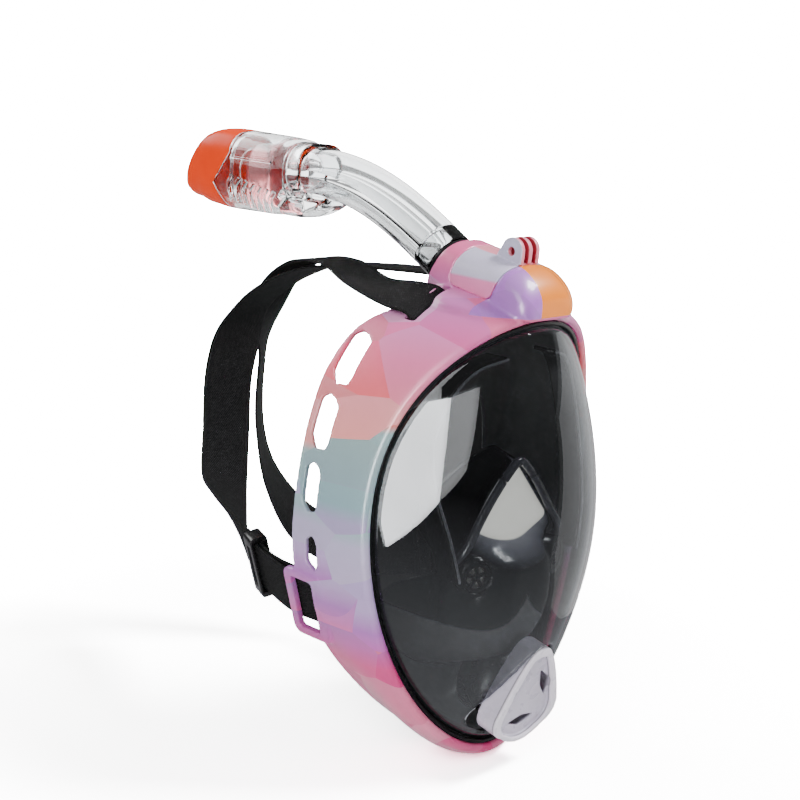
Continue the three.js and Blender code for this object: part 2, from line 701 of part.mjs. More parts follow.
// ---------------------------------------------------------------- head harness
// The middle, run, width and thickness directions of a flat strap, a fraction u of the way along
// its [x, y, z, width direction x, y, z] stations.
function strapFrames(stations) {
  const centres = new THREE.CatmullRomCurve3(
    stations.map(([x, y, z]) => new THREE.Vector3(x, y, z)), false, "centripetal");
  const widths = new THREE.CatmullRomCurve3(
    stations.map(([, , , x, y, z]) => new THREE.Vector3(x, y, z).normalize()), false, "centripetal");
  return (u) => {
    const centre = centres.getPoint(u);
    const along = centres.getTangent(u);
    const across = widths.getPoint(u);
    across.addScaledVector(along, -across.dot(along)).normalize();
    return { centre, along, across, normal: along.clone().cross(across) };
  };
}

function makeStrap(stations) {
  const frameAt = strapFrames(stations);
  const perStation = 3;
  return capped(range(perStation * (stations.length - 1) + 1, 0, 1).map((u) => {
    const { centre, across, normal } = frameAt(u);
    return [[1, 1], [-1, 1], [-1, -1], [1, -1]].map(([a, n]) => centre.clone()
      .addScaledVector(across, (a * STRAP_WIDTH) / 2)
      .addScaledVector(normal, (n * STRAP_THICKNESS) / 2));
  }));
}

// A strap's width and place where it loops round the rear bar of its crown slot.
function crownEnd(side) {
  const out = rimOutward(side * CROWN_ANGLE);
  const across = new THREE.Vector3(0, 1, 0).cross(out);
  const end = flangeEnd(CROWN_ANGLE).y;
  const at = (back, up) => {
    const p = rimPoint(side * CROWN_ANGLE).addScaledVector(out, 14 + up);
    return [p.x, end + back, p.z, ...across.toArray()];
  };
  return [at(16, -7.4), at(4, -6.8), at(-5, -6.2), at(-9.8, -2.2), at(-5, 1.9), at(5, 2.6)];
}

// The same where it passes inside the ear at the jaw and turns round the ear's inner bar.
function earEnd(side) {
  const out = rimOutward(side * EAR_ANGLE);
  const across = new THREE.Vector3(0, -1, 0).cross(out);
  const at = (y, up) => {
    const p = rimPoint(side * EAR_ANGLE).addScaledVector(out, EAR_OUT + up);
    return [p.x, y, p.z, ...across.toArray()];
  };
  return [at(20, -6.8), at(4, -7.2), at(-7, -7.4), at(-10.8, -9.7), at(-7, -12), at(14, -10.8)];
}

// Each strap runs from the crown slot on one side to the ear on the other, over the back of the
// head. The two cross at the crown, hang side by side behind, each turned outwards, and part
// towards the jaw.
// Stations are [x towards the crown side, y, z, width direction].
const CROWN_ROUTE = [[33, 20, 131, 1, 0, -0.1], [17, 62, 131, 1, 0, 0], [3, 106, 124, 1, 0, 0]];
const INNER_ROUTE = [
  [-11, 142, 98, 1, 0, 0], [-15, 158, 58, 0.75, -0.66, 0], [-16, 159, 12, 0.75, -0.66, 0],
  [-24, 149, -15, 0.76, -0.58, -0.3], [-39, 124, -27, 0.66, -0.3, -0.7], [-57, 92, -33, 0.4, 0, -0.9],
  [-71, 60, -37, 0.3, 0, -0.95],
];
const OUTER_ROUTE = [
  [-11, 149, 102, 1, 0, 0], [-15, 162, 59, 0.75, -0.66, 0], [-16, 163, 12, 0.75, -0.66, 0],
  [-23, 156, -24, 0.76, -0.58, -0.3], [-39, 135, -56, 0.66, -0.3, -0.7], [-60, 100, -66, 0.4, 0, -0.9],
  [-73, 60, -57, 0.3, 0, -0.95],
];
const CROWN_LIFT = 4.6;
const SLIDER_STATION = 9;

function routeOf(side, outer) {
  const lifted = CROWN_ROUTE.map(([x, y, z, ...across], i) =>
    [x, y + (outer && i > 1 ? 1 : 0), z + (outer && i > 0 ? CROWN_LIFT : 0), ...across]);
  return [...lifted, ...(outer ? OUTER_ROUTE : INNER_ROUTE)].map(([x, y, z, wx, wy, wz]) =>
    [side * x, y, z, wx, side * wy, side * wz]);
}

// After the ear the tail lies TAIL_OFFSET inside the strap, back through the adjuster.
const TAIL_OFFSET = 2.6;

function stationsOf(crownSide, outer) {
  const main = [...crownEnd(crownSide), ...routeOf(crownSide, outer), ...earEnd(-crownSide)];
  const frameAt = strapFrames(main);
  const slider = crownEnd(crownSide).length + SLIDER_STATION;
  const tail = [0.6, 0, -0.5].map((step) => {
    const { centre, across, normal } = frameAt((slider + step) / (main.length - 1));
    return [...centre.addScaledVector(normal, TAIL_OFFSET).toArray(), ...across.toArray()];
  });
  return { main, all: [...main, ...tail], slider: frameAt(slider / (main.length - 1)) };
}

// The sliding adjuster that keeps the strap and its tail together.
const SLIDER = { width: 38.6, length: 12, height: 10.6, windowWidth: 32.4, windowHeight: 7.6 };

function makeSlider() {
  const { width, length, height, windowWidth, windowHeight } = SLIDER;
  const shell = roundedRect(new THREE.Shape(), -width / 2, -height / 2, width / 2, height / 2, 2);
  const window = roundedRect(new THREE.Path(), -windowWidth / 2, -windowHeight / 2,
    windowWidth / 2, windowHeight / 2, 0.6);
  shell.holes.push(window);
  return solidOf(prism(shell, -length / 2, length / 2, 4));
}

// ---------------------------------------------------------------- the object
const PRINT = 0xe2a3b5;
const group = new THREE.Group();
group.name = "full_face_snorkel";

function add(name, solid, colour, roughness, extra = {}) {
  const material = new THREE.MeshStandardMaterial({ color: colour, roughness, metalness: 0, ...extra });
  const mesh = new THREE.Mesh(geometryOf(solid), material);
  mesh.name = name;
  group.add(mesh);
  return mesh;
}

// Turns a mesh that was drawn about +Y so that it stands at a place, facing a direction.
function stand(mesh, place, direction) {
  mesh.position.copy(place);
  mesh.quaternion.setFromUnitVectors(new THREE.Vector3(0, 1, 0), direction);
}

const CLEAR = { transparent: true, opacity: 0.3 };
const backwards = new THREE.Vector3(0, 1, 0);
const forwards = new THREE.Vector3(0, -1, 0);

add("frame", makeFrame(), PRINT, 0.35);
add("camera_mount", makeCameraMount(), PRINT, 0.4);
add("lens", makeLens(), 0x1c1e20, 0.05, { transparent: true, opacity: 0.6 });
add("lens_gasket", makeGasket(), 0x0b0b0c, 0.5);
add("face_skirt", makeSkirt(), 0x121213, 0.6);
add("skirt_retainer", makeRetainer(), 0x1a1a1b, 0.5);
SCREW_ANGLES.forEach((t, i) => {
  const p = besideRim(t, SCREW_OUT, SCREW_BACK);
  stand(add(`retainer_screw_${i + 1}`, makeScrew(), 0xb8babd, 0.3, { metalness: 1 }), p, backwards);
});
add("orinasal_pocket", makePocket(), 0x0d0d0e, 0.25);
for (const [side, label] of [[1, "left"], [-1, "right"]]) {
  const { centre, normal } = intakePlace(side);
  const seatBase = centre.clone().addScaledVector(normal, -1.2);
  const flapBase = centre.clone().addScaledVector(normal, -1.6);
  const inward = normal.clone().negate();
  stand(add(`intake_valve_seat_${label}`, makeSeat(VALVE_RADIUS, 2.4, 5), 0x161617, 0.4), seatBase,
    normal);
  stand(add(`intake_valve_flap_${label}`, makeFlap(FLAP_RADIUS), 0x8a8d90, 0.6), flapBase, inward);
  add(`eye_chamber_wall_${label}`, makeEyeWall(side), 0x101011, 0.3);
}
add("chin_vent_cover", makeVentCover(), 0xcfc8d4, 0.3).geometry
  .translate(0, 84, 86).rotateX(VENT_TILT).translate(0, -84, -86);
stand(add("chin_valve_seat", makeChinSeat(), 0x18181a, 0.4),
  new THREE.Vector3(0, CHIN_VALVE.front, CHIN_VALVE.z), backwards);
stand(add("chin_valve_flap", makeFlap(14.5), 0x8a8d90, 0.6),
  new THREE.Vector3(0, CHIN_VALVE.front - GAP, CHIN_VALVE.z), forwards);

add("snorkel_tube", makeTube(), 0xe9eef0, 0.05, CLEAR);
add("snorkel_plug", makePlug(), 0xdfe6ea, 0.05, CLEAR);
add("plug_oring", makeORing(0.9, 4.3, 27.8, 32.6), 0x08080a, 0.4);
add("socket_seal", makeORing(-11.6, -8.8, 29.2, 32), 0x08080a, 0.4);
add("dry_top_housing", makeDryTop(), 0xe9eef0, 0.05, CLEAR);
add("dry_top_cap", makeCap(), 0xff480a, 0.15);
add("inlet_seat", makeInletSeat(), 0xdfe6ea, 0.05, CLEAR);
add("float", makeFloat(), 0xd8303a, 0.2, CLEAR);
add("float_seal", makeFloatSeal(), 0xa01822, 0.6);

for (const [side, label, outer] of [[1, "left", true], [-1, "right", false]]) {
  const stations = stationsOf(-side, outer);
  add(`strap_to_${label}_jaw`, makeStrap(stations.all), 0x141415, 0.9);
  const slider = add(`strap_slider_${label}`, makeSlider(), 0x0e0e10, 0.35);
  const { centre, along, across, normal } = stations.slider;
  slider.position.copy(centre.clone().addScaledVector(normal, TAIL_OFFSET / 2));
  slider.quaternion.setFromRotationMatrix(new THREE.Matrix4().makeBasis(across, normal, along));
}

export default group;
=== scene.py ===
"""The full face snorkel mask as it looks: fine surfaces, materials, light and camera round the frame."""

import math

import bmesh
import bpy
import json
from mathutils import Matrix, Vector


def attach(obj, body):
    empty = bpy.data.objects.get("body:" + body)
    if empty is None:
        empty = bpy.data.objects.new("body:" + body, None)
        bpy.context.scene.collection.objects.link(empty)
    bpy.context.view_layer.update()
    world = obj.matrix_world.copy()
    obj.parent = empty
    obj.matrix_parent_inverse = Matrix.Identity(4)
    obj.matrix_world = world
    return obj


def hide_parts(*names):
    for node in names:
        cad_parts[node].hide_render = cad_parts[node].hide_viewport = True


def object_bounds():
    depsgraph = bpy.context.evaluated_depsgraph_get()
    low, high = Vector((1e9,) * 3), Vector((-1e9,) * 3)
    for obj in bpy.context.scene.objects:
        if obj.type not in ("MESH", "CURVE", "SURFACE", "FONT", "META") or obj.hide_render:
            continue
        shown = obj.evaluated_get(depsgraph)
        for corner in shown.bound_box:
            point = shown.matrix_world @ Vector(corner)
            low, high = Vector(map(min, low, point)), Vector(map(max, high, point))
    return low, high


MM = 0.001
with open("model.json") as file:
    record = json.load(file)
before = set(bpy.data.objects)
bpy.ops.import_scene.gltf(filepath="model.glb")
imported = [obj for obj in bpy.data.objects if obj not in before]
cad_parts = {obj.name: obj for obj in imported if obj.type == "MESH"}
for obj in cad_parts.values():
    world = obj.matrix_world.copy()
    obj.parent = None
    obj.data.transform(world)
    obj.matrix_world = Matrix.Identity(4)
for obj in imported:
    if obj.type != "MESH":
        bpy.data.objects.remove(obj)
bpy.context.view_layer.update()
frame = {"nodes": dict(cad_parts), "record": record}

# ------------------------------------------------------------------ driving dimensions, in millimetres
RIM_HALF_WIDTH, RIM_HALF_HEIGHT, RIM_EGG = 83.6, 120, 0.15
RIM_MEAN_Y, RIM_SIDE_WRAP, RIM_SQUARENESS, RIM_LEAN, RIM_TWIST = -54, 14, 2, 3.5, 2.5
LENS_FRONT_Y, LENS_POWER, LENS_THICKNESS = -104, 2.4, 2.5
RIM_FINE = 288
FLANGE_END = [
    (-34, 14), (-22, 14.5), (-1, 15), (5, 14), (5, 12.5), (4, 13), (5, 14),
    (3, 14.5), (-6, 12), (-13, 8), (-20, 6), (-28, 7), (-34, 8),
]
FLANGE_THICKNESS, FLANGE_SWELL, BEZEL_INNER, BEZEL_OUTER = 3, 5, 2.6, 9
TUBE_WIDTH, TUBE_HEIGHT = 32, 29
SOCKET_MOUTH, SOCKET_TILT = Vector((0, -13, 143.5)), math.radians(30)
STRAP_WIDTH, STRAP_THICKNESS = 30, 1.6
EAR_ANGLE, CROWN_ANGLE = math.radians(107.5), math.radians(18.5)
FLANGE_OUT = 14


# ------------------------------------------------------------------ mesh tools
def mesh_object(name, points, faces):
    """A smooth shaded object from points in millimetres, with its faces turned outwards."""
    mesh = bpy.data.meshes.new(name)
    mesh.from_pydata([Vector(p) * MM for p in points], [], faces)
    bm = bmesh.new()
    bm.from_mesh(mesh)
    bmesh.ops.recalc_face_normals(bm, faces=bm.faces)
    bm.to_mesh(mesh)
    bm.free()
    mesh.shade_smooth()
    made = bpy.data.objects.new(name, mesh)
    bpy.context.scene.collection.objects.link(made)
    return made


def loft(name, rings, looped=False):
    """A closed skin over rings of points; looped, the last ring meets the first."""
    count = len(rings[0])
    points = [p for ring in rings for p in ring]
    faces = []
    for i in range(len(rings) if looped else len(rings) - 1):
        a, b = i * count, (i + 1) % len(rings) * count
        for j in range(count):
            k = (j + 1) % count
            faces.append((a + j, a + k, b + k, b + j))
    if not looped:
        faces.append(tuple(range(count)))
        faces.append(tuple(range(len(points) - count, len(points))))
    return mesh_object(name, points, faces)


def prism(outline, low, high, place=Vector):
    """An outline pushed from low to high, each corner put in place by place((a, b, height))."""
    return loft("prism", [[place((a, b, h)) for a, b in outline] for h in (low, high)])


def bake(obj):
    """Makes the object's modifiers part of its mesh."""
    graph = bpy.context.evaluated_depsgraph_get()
    mesh = bpy.data.meshes.new_from_object(obj.evaluated_get(graph))
    obj.modifiers.clear()
    obj.data = mesh
    mesh.shade_smooth()
    return obj


def combine(obj, *tools, how="DIFFERENCE"):
    """Cuts the tools from an object, or joins or intersects them with it; the tools are used up."""
    for tool in tools:
        step = obj.modifiers.new(how, "BOOLEAN")
        step.operation, step.solver, step.object = how, "EXACT", tool
        bake(obj)
        bpy.data.objects.remove(tool)
    return obj


def join(name, *parts):
    """One object from several, which may overlap."""
    bm = bmesh.new()
    for part in parts:
        bm.from_mesh(part.data)
    mesh = bpy.data.meshes.new(name)
    bm.to_mesh(mesh)
    bm.free()
    for part in parts:
        bpy.data.objects.remove(part)
    made = bpy.data.objects.new(name, mesh)
    bpy.context.scene.collection.objects.link(made)
    return made


def mould(obj, voxel, rounds):
    """Runs overlapping parts into one skin with soft moulded edges."""
    step = obj.modifiers.new("mould", "REMESH")
    step.mode, step.voxel_size, step.use_smooth_shade = "VOXEL", voxel * MM, True
    ease = obj.modifiers.new("ease", "SMOOTH")
    ease.factor, ease.iterations = 0.5, rounds
    return bake(obj)


def ease_where(obj, weight, rounds):
    """Smooths a mesh more where weight(point in millimetres) is near 1."""
    group = obj.vertex_groups.new(name="ease")
    for vertex in obj.data.vertices:
        amount = weight(vertex.co / MM)
        if amount > 0:
            group.add([vertex.index], min(1, amount), "REPLACE")
    ease = obj.modifiers.new("ease", "SMOOTH")
    ease.factor, ease.iterations, ease.vertex_group = 0.5, rounds, "ease"
    return bake(obj)


def soften(obj, width, angle=38, segments=3):
    """Rounds every edge that turns more than the angle."""
    step = obj.modifiers.new("soften", "BEVEL")
    step.limit_method, step.angle_limit = "ANGLE", math.radians(angle)
    step.width, step.segments, step.harden_normals = width * MM, segments, False
    return bake(obj)


def finish_piece(obj, name, node, material):
    """Names a piece, gives it its material and lets it stand for its CAD node."""
    obj.name = name
    obj.data.materials.clear()
    obj.data.materials.append(M[material])
    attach(obj, node_body[node])
    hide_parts(node)


node_body = {n: body for body, nodes in frame["record"]["behaviour"]["bodies"].items() for n in nodes}


# ------------------------------------------------------------------ curves
def spline_at(points, t):
    """A uniform Catmull-Rom curve through 2-D points, t from 0 to 1."""
    p = (len(points) - 1) * t
    i = min(int(p), len(points) - 1)
    w = p - i
    pick = [points[max(0, min(j, len(points) - 1))] for j in range(i - 1, i + 3)]
    values = []
    for a, b, c, d in zip(*pick):
        v0, v1 = (c - a) / 2, (d - b) / 2
        values.append((2 * b - 2 * c + v0 + v1) * w**3 + (-3 * b + 3 * c - 2 * v0 - v1) * w**2 + v0 * w + b)
    return values


def centripetal(points, u):
    """A centripetal Catmull-Rom curve through 3-D points, u from 0 to 1."""
    p = (len(points) - 1) * u
    i = min(int(p), len(points) - 2)
    w = p - i
    before = points[i - 1] if i > 0 else points[0] * 2 - points[1]
    after = points[i + 2] if i + 2 < len(points) else points[-1] * 2 - points[-2]
    a, b = points[i], points[i + 1]
    d0, d1, d2 = (max((q - r).length, 1e-4) ** 0.5 for q, r in ((a, before), (b, a), (after, b)))
    t1 = ((a - before) / d0 - (b - before) / (d0 + d1) + (b - a) / d1) * d1
    t2 = ((b - a) / d1 - (after - a) / (d1 + d2) + (after - b) / d2) * d1
    return a + t1 * w + (-3 * a + 3 * b - 2 * t1 - t2) * w**2 + (2 * a - 2 * b + t1 + t2) * w**3


def steps(count, low=0.0, high=1.0):
    return [low + (high - low) * i / (count - 1) for i in range(count)]


def heading(route, u, step):
    """The direction of a 3-D curve at u."""
    return (centripetal(route, min(u + step, 1)) - centripetal(route, max(u - step, 0))).normalized()


def bend(a, b, c, w):
    """A point on the quadratic curve from a to c that b pulls on."""
    return a * (1 - w) ** 2 + b * 2 * w * (1 - w) + c * w**2


def arc(half_width, half_height, count, start=0.0, end=math.tau):
    return [(half_width * math.cos(a), half_height * math.sin(a)) for a in steps(count, start, end)]


def circle(radius, count=64):
    return arc(radius, radius, count + 1)[:-1]


def turned(outline, degrees):
    """An outline turned about its origin."""
    c, s = math.cos(math.radians(degrees)), math.sin(math.radians(degrees))
    return [(a * c - b * s, a * s + b * c) for a, b in outline]


# ------------------------------------------------------------------ the lens rim
def rim(t):
    lean = RIM_LEAN * math.cos(t) + RIM_TWIST * math.cos(3 * t)
    wrap = RIM_SIDE_WRAP * math.cos(2 * t) + RIM_SQUARENESS * math.cos(4 * t)
    x = RIM_HALF_WIDTH * math.sin(t) * (1 + RIM_EGG * math.cos(t))
    return Vector((x, RIM_MEAN_Y - wrap - lean, RIM_HALF_HEIGHT * math.cos(t)))


def rim_out(t):
    ahead = rim(t + 1e-3) - rim(t - 1e-3)
    return Vector((-ahead.z, 0, ahead.x)).normalized()


def beside(t, out, back):
    return rim(t) + rim_out(t) * out + Vector((0, back, 0))


def at_rim(t, out, y):
    """Places (along the rim, back, outward) at rim angle t."""
    outward = rim_out(t)
    along = Vector((outward.z, 0, -outward.x))
    origin = rim(t) + outward * out
    origin.y = y
    return lambda p: origin + along * p[0] + Vector((0, p[1], 0)) + outward * p[2]


RIM_ANGLES = [math.tau * i / RIM_FINE for i in range(RIM_FINE)]


def around_rim(name, section):
    """A ring with a section of (out, back) points, or a function of t that gives one."""
    pick = section if callable(section) else lambda t: section
    return loft(name, [[beside(t, *p) for p in pick(t)] for t in RIM_ANGLES], looped=True)


def rounded(points, radius, count=4):
    """A closed outline with its corners rounded."""
    made = []
    for i, corner in enumerate(points):
        corner = Vector(corner)
        before, after = Vector(points[i - 1]), Vector(points[(i + 1) % len(points)])
        start = corner + (before - corner).normalized() * min(radius, (before - corner).length * 0.45)
        end = corner + (after - corner).normalized() * min(radius, (after - corner).length * 0.45)
        for w in steps(count):
            made.append(tuple(bend(start, corner, end, w)))
    return made


def rectangle(x0, y0, x1, y1):
    return [(x0, y0), (x1, y0), (x1, y1), (x0, y1)]


# ------------------------------------------------------------------ housing and socket ovals
HOUSING = [
    (-83, 127.5, 0, 32, 13), (-81.6, 129, 0, 39, 18), (-77, 131.8, 0, 45, 25), (-69, 135, 0, 47.5, 30),
    (-59, 137.4, 5, 48, 29), (-47, 139, 13, 46, 31), (-32, 140, 22, 44, 34), (-13, 143.5, 30, 40, 36),
]


def oval_ring(section, power=2.6, count=64):
    y, z, tilt, width, height = section
    up = Vector((0, -math.sin(math.radians(tilt)), math.cos(math.radians(tilt))))
    ring = []
    for i in range(count):
        c, s = math.cos(math.tau * i / count), math.sin(math.tau * i / count)
        across = math.copysign(abs(c) ** (2 / power), c) * width / 2
        ring.append(Vector((across, y, z)) + up * (math.copysign(abs(s) ** (2 / power), s) * height / 2))
    return ring


def oval_loft(name, sections, power=2.6, count=64, fine=1):
    """A closed loft over oval sections, with fine steps between two of them."""
    if fine > 1:
        u = steps((len(sections) - 1) * fine + 1)
        sections = [spline_at(sections, v) for v in u]
    return loft(name, [oval_ring(s, power, count) for s in sections])


def inset(sections, by):
    return [(y, z, tilt, w - 2 * by, h - 2 * by) for y, z, tilt, w, h in sections]


def housing_core(by):
    return oval_loft("core", inset(HOUSING, by), fine=4)


def on_axis(s):
    return SOCKET_MOUTH + Vector((0, math.cos(SOCKET_TILT), math.sin(SOCKET_TILT))) * s


def socket_oval(s, width, height):
    p = on_axis(s)
    return (p.y, p.z, math.degrees(SOCKET_TILT), width, height)


def socket_tube(start, end, width, height):
    return oval_loft("tube", [socket_oval(start, width, height), socket_oval(end, width, height)], 2.2, 72)


def in_profile(p):
    """Takes (y, z, x) to a place."""
    return Vector((p[2], p[0], p[1]))


COVER_OUTLINE = [(-27, 137), (-36, 172), (-67, 172), (-63, 144), (-58, 132)]
COVER_MIDDLE = Vector((-48, 150))
FINGER_HOLE, HOLE_RADIUS, FINGER_RADIUS, FINGER_PITCH, FINGER_HALF_WIDTH = (-58, 157.5), 2.5, 7.5, 6.2, 1.5


def cover_zone(margin):
    grown = []
    for corner in COVER_OUTLINE:
        away = Vector(corner) - COVER_MIDDLE
        grown.append(tuple(COVER_MIDDLE + away * (1 + margin / away.length)))
    return prism(rounded(grown, 5, 5), -40, 40, in_profile)


# ------------------------------------------------------------------ frame
def flange_end(t):
    """The end of the flange at rim angle t as (y, out)."""
    return spline_at(FLANGE_END, math.acos(max(-1, min(1, math.cos(t)))) / math.pi)


def frame_section(t):
    end_y, end_out = flange_end(t)
    run = end_y - rim(t).y
    p0, p1 = Vector((BEZEL_OUTER, 1)), Vector((BEZEL_OUTER + FLANGE_SWELL, run * 0.35))
    p2, p3 = Vector((end_out, run * 0.6)), Vector((end_out, run))
    outer = []
    for w in steps(16):
        outer.append(p0 * (1 - w) ** 3 + p1 * 3 * w * (1 - w) ** 2 + p2 * 3 * w**2 * (1 - w) + p3 * w**3)
    inner = [Vector((p.x - FLANGE_THICKNESS, p.y)) for p in reversed(outer[1:])]
    lip = [(BEZEL_INNER, 4), (BEZEL_INNER, -1.6), (3.6, -3), (5.5, -3.4), (7.2, -2.6), (8.4, -0.9)]
    return [*lip, *map(tuple, outer), *map(tuple, inner), (BEZEL_OUTER - 3.6, 4.2)]


WINDOWS = [(41.5, 33, 15, 4.5, 5), (59.5, 30, 14, 5, 4), (76, 27, 11, 6, 2), (92, 20, 8, 11, 1)]


def window_cutter(side, angle, length, depth, margin, slant):
    t, half = side * math.radians(angle), length / 2
    outline = [
        (-half + 2, slant), (-half, depth - 4), (-half + 3, depth), (half - slant - 3, depth),
        (half, depth - 5), (half - 1, 1), (half - 5, 0), (-half + 6, 0),
    ]
    outline = [(side * a, b) for a, b in rounded(outline, 1.3)]
    return prism(outline, -22, 16, at_rim(t, 13, flange_end(t)[0] - margin - depth))


def ear_place(side):
    return at_rim(side * EAR_ANGLE, FLANGE_OUT, 0)


def crown_place(side):
    return at_rim(side * CROWN_ANGLE, FLANGE_OUT, flange_end(CROWN_ANGLE)[0])


def socket_bore():
    return socket_tube(-24, 8, TUBE_WIDTH + 0.6, TUBE_HEIGHT + 0.6)


FLARE = [(-76, 122, 0, 52, 12), (-66, 124, 0, 64, 15), (-52, 125.5, 6, 74, 18), (-36, 127, 12, 76, 19),
         (-22, 129, 20, 66, 16), (-14, 131, 28, 48, 9)]


def housing_tools():
    """What the space for the lens and the flange's underside take from the housing."""
    room = around_rim("room", [(-40, -40), (BEZEL_INNER, -40), (BEZEL_INNER, 30), (-40, 30)])
    below = prism([(-96, 80), (-96, 120.5), (-77, 124.5), (-8, 127), (-8, 80)], -60, 60, in_profile)
    return room, below


# outlines on an ear and at a crown slot, as (along the rim, back)
EAR, EAR_OPENING = rectangle(-21.5, -16, 21.5, 14), rectangle(-16.5, -8, 16.5, 8.5)
CROWN_SLOT = rectangle(-16.2, -13.2, 16.2, -6)
EAR_BAR, BAR_END, BAR_END_HALF_WIDTH = rectangle(-19, -8, 19, -5), 17.8, 1.2


def build_frame():
    """The bezel, flange, brow housing, ears and windows as one moulding, with a bar in each ear."""
    ring = around_rim("frame", frame_section)
    housing = combine(housing_core(0), *housing_tools())
    mount_bed = combine(cover_zone(0.35), housing_core(2.75))
    combine(housing, mount_bed, socket_bore())
    flare = combine(oval_loft("flare", FLARE, 2.2, fine=4), *housing_tools())
    ears = [prism(rounded(EAR, 6, 6), -4, 0, ear_place(side)) for side in (1, -1)]
    body = mould(join("frame", ring, housing, flare, *ears), 0.8, 4)
    ease_where(body, lambda p: (p.z - 112) / 8 * (p.y < 4) * (p.z < 133 or p.y < -68), 26)
    cutters = [window_cutter(side, *w) for side in (1, -1) for w in WINDOWS]
    for side in (1, -1):
        cutters.append(prism(rounded(EAR_OPENING, 2.2, 5), -20, 8, ear_place(side)))
        cutters.append(prism(rounded(CROWN_SLOT, 2, 5), -14, 10, crown_place(side)))
    combine(body, join("cutters", *cutters), socket_bore())
    bars = []
    for side in (1, -1):
        place = ear_place(side)
        bars.append(prism(rounded(EAR_BAR, 0.8), -10.7, -8.7, place))
        for end in (-BAR_END, BAR_END):
            post = rectangle(end - BAR_END_HALF_WIDTH, -8, end + BAR_END_HALF_WIDTH, -5)
            bars.append(prism(rounded(post, 0.6), -10.6, -1.6, place))
    return mould(join("frame", body, *bars), 0.62, 3)


def build_camera_mount():
    """A saddle of the housing's skin with three drilled fingers on it."""
    saddle = combine(housing_core(0), cover_zone(0), how="INTERSECT")
    combine(saddle, housing_core(2.4))
    y, z = FINGER_HOLE
    top = [(y + a, z + b) for a, b in arc(FINGER_RADIUS, FINGER_RADIUS, 20, 0.85, math.pi - 0.15)]
    outline = [(y + 14, z - 10), *top, (y - 6.6, z - 12)]
    fingers = []
    for middle in (-FINGER_PITCH, 0, FINGER_PITCH):
        finger = prism(outline, middle - FINGER_HALF_WIDTH, middle + FINGER_HALF_WIDTH, in_profile)
        fingers.append(combine(finger, housing_core(1.2)))
    body = mould(join("mount", saddle, *fingers), 0.42, 3)
    hole = [(y + a, z + b) for a, b in circle(HOLE_RADIUS, 40)]
    return combine(body, combine(housing_core(-0.35), cover_zone(0)), prism(hole, -12, 12, in_profile))


# ------------------------------------------------------------------ lens and gasket
def vent_outline(margin):
    """A rounded triangle with its point up, six bends long."""
    w, top, bottom, low = 26 + margin, -54 + margin, -115 - margin, -99
    route = [
        (-6, top - 2), (0, top + 1), (6, top - 2), (w * 0.62, top - 12), (w, low + 5), (w + 2, low - 5),
        (w - 8, low - 9), (0, bottom - 6), (8 - w, low - 9), (-w - 2, low - 5), (-w, low + 5),
        (-w * 0.62, top - 12), (-6, top - 2),
    ]
    points = [Vector(p) for p in route]
    return [tuple(bend(*points[i : i + 3], u)) for i in range(0, 12, 2) for u in steps(14)[:-1]]


def in_front(p):
    """Takes (x, z, y) to a place."""
    return Vector((p[0], p[2], p[1]))


def lens_point(t, r, depth):
    edge = rim(t)
    y = LENS_FRONT_Y + (edge.y - LENS_FRONT_Y) * r**LENS_POWER + depth
    return Vector((edge.x * r, y, edge.z * r))


def build_lens():
    outer = [[lens_point(t, r, 0) for t in RIM_ANGLES] for r in steps(44, 0.01, 0.992)]
    inner = [[lens_point(t, r, LENS_THICKNESS) for t in RIM_ANGLES] for r in steps(44, 0.992, 0.01)]
    shell = loft("lens", outer + inner)
    return combine(shell, prism(vent_outline(1.2), -130, -40, in_front))


def build_gasket():
    section = [(0.3, -0.8), (2.2, -1.2), (2.2, 4.8), (-4, 4.8), (-4, 3.6), (0.3, 3.2)]
    return around_rim("gasket", rounded(section, 0.5, 3))


# ------------------------------------------------------------------ skirt, retainer and pocket
def seal_y(t):
    return -7.5 - 13.5 * math.cos(2 * t)


def skirt_section(t):
    depth = seal_y(t) - rim(t).y
    lip = -31 - 16 * max(0, math.cos(t)) ** 1.5
    section = [
        (1.8, 5.2), (1.2, 8), (-2, 8.4), (-4, depth * 0.5), (-9, depth - 3), (-17, depth), (lip, depth - 2),
        (lip, depth - 4), (-18, depth - 2.6), (-11, depth - 5.5), (-6.4, depth * 0.5), (-6, 5.2),
    ]
    return rounded(section, 4, 4)


POCKET_WIDTH, POCKET_HEIGHT, POCKET_Z, POCKET_FRONT = 44, 68, -20, -82
POCKET_WALL, POCKET_SIDES, POCKET_RINGS = 2.2, 160, 70
VALVE_TUBE, VALVE_BORE, VALVE_SEAT, VALVE_FLAP = 10.85, 8.85, 8.5, 6.6
CHIN_TUBE, CHIN_BORE, CHIN_SEAT, CHIN_FLAP, CHIN_Y, CHIN_Z = 19, 17, 18, 14.5, -76, -86
INTAKE, INTAKE_TURN = Vector((33, -72, -15)), math.radians(20)
NOSE_Y, NOSE_LOW, NOSE_HIGH, LOBE_SPREAD = -67, -12, 4, 15
RIDGE_RADIUS = 2.6
NOSE_RIDGE = [
    (0, -69, 44), (10, -69, 37), (20, -68.5, 26), (30, -68.5, 13), (38, -69, 2), (42, -65, -6),
    (42, -58, -12),
]


def eased(value, low, high):
    """0 below low, 1 above high and smooth between."""
    w = max(0, min(1, (value - low) / (high - low)))
    return w * w * (3 - 2 * w)


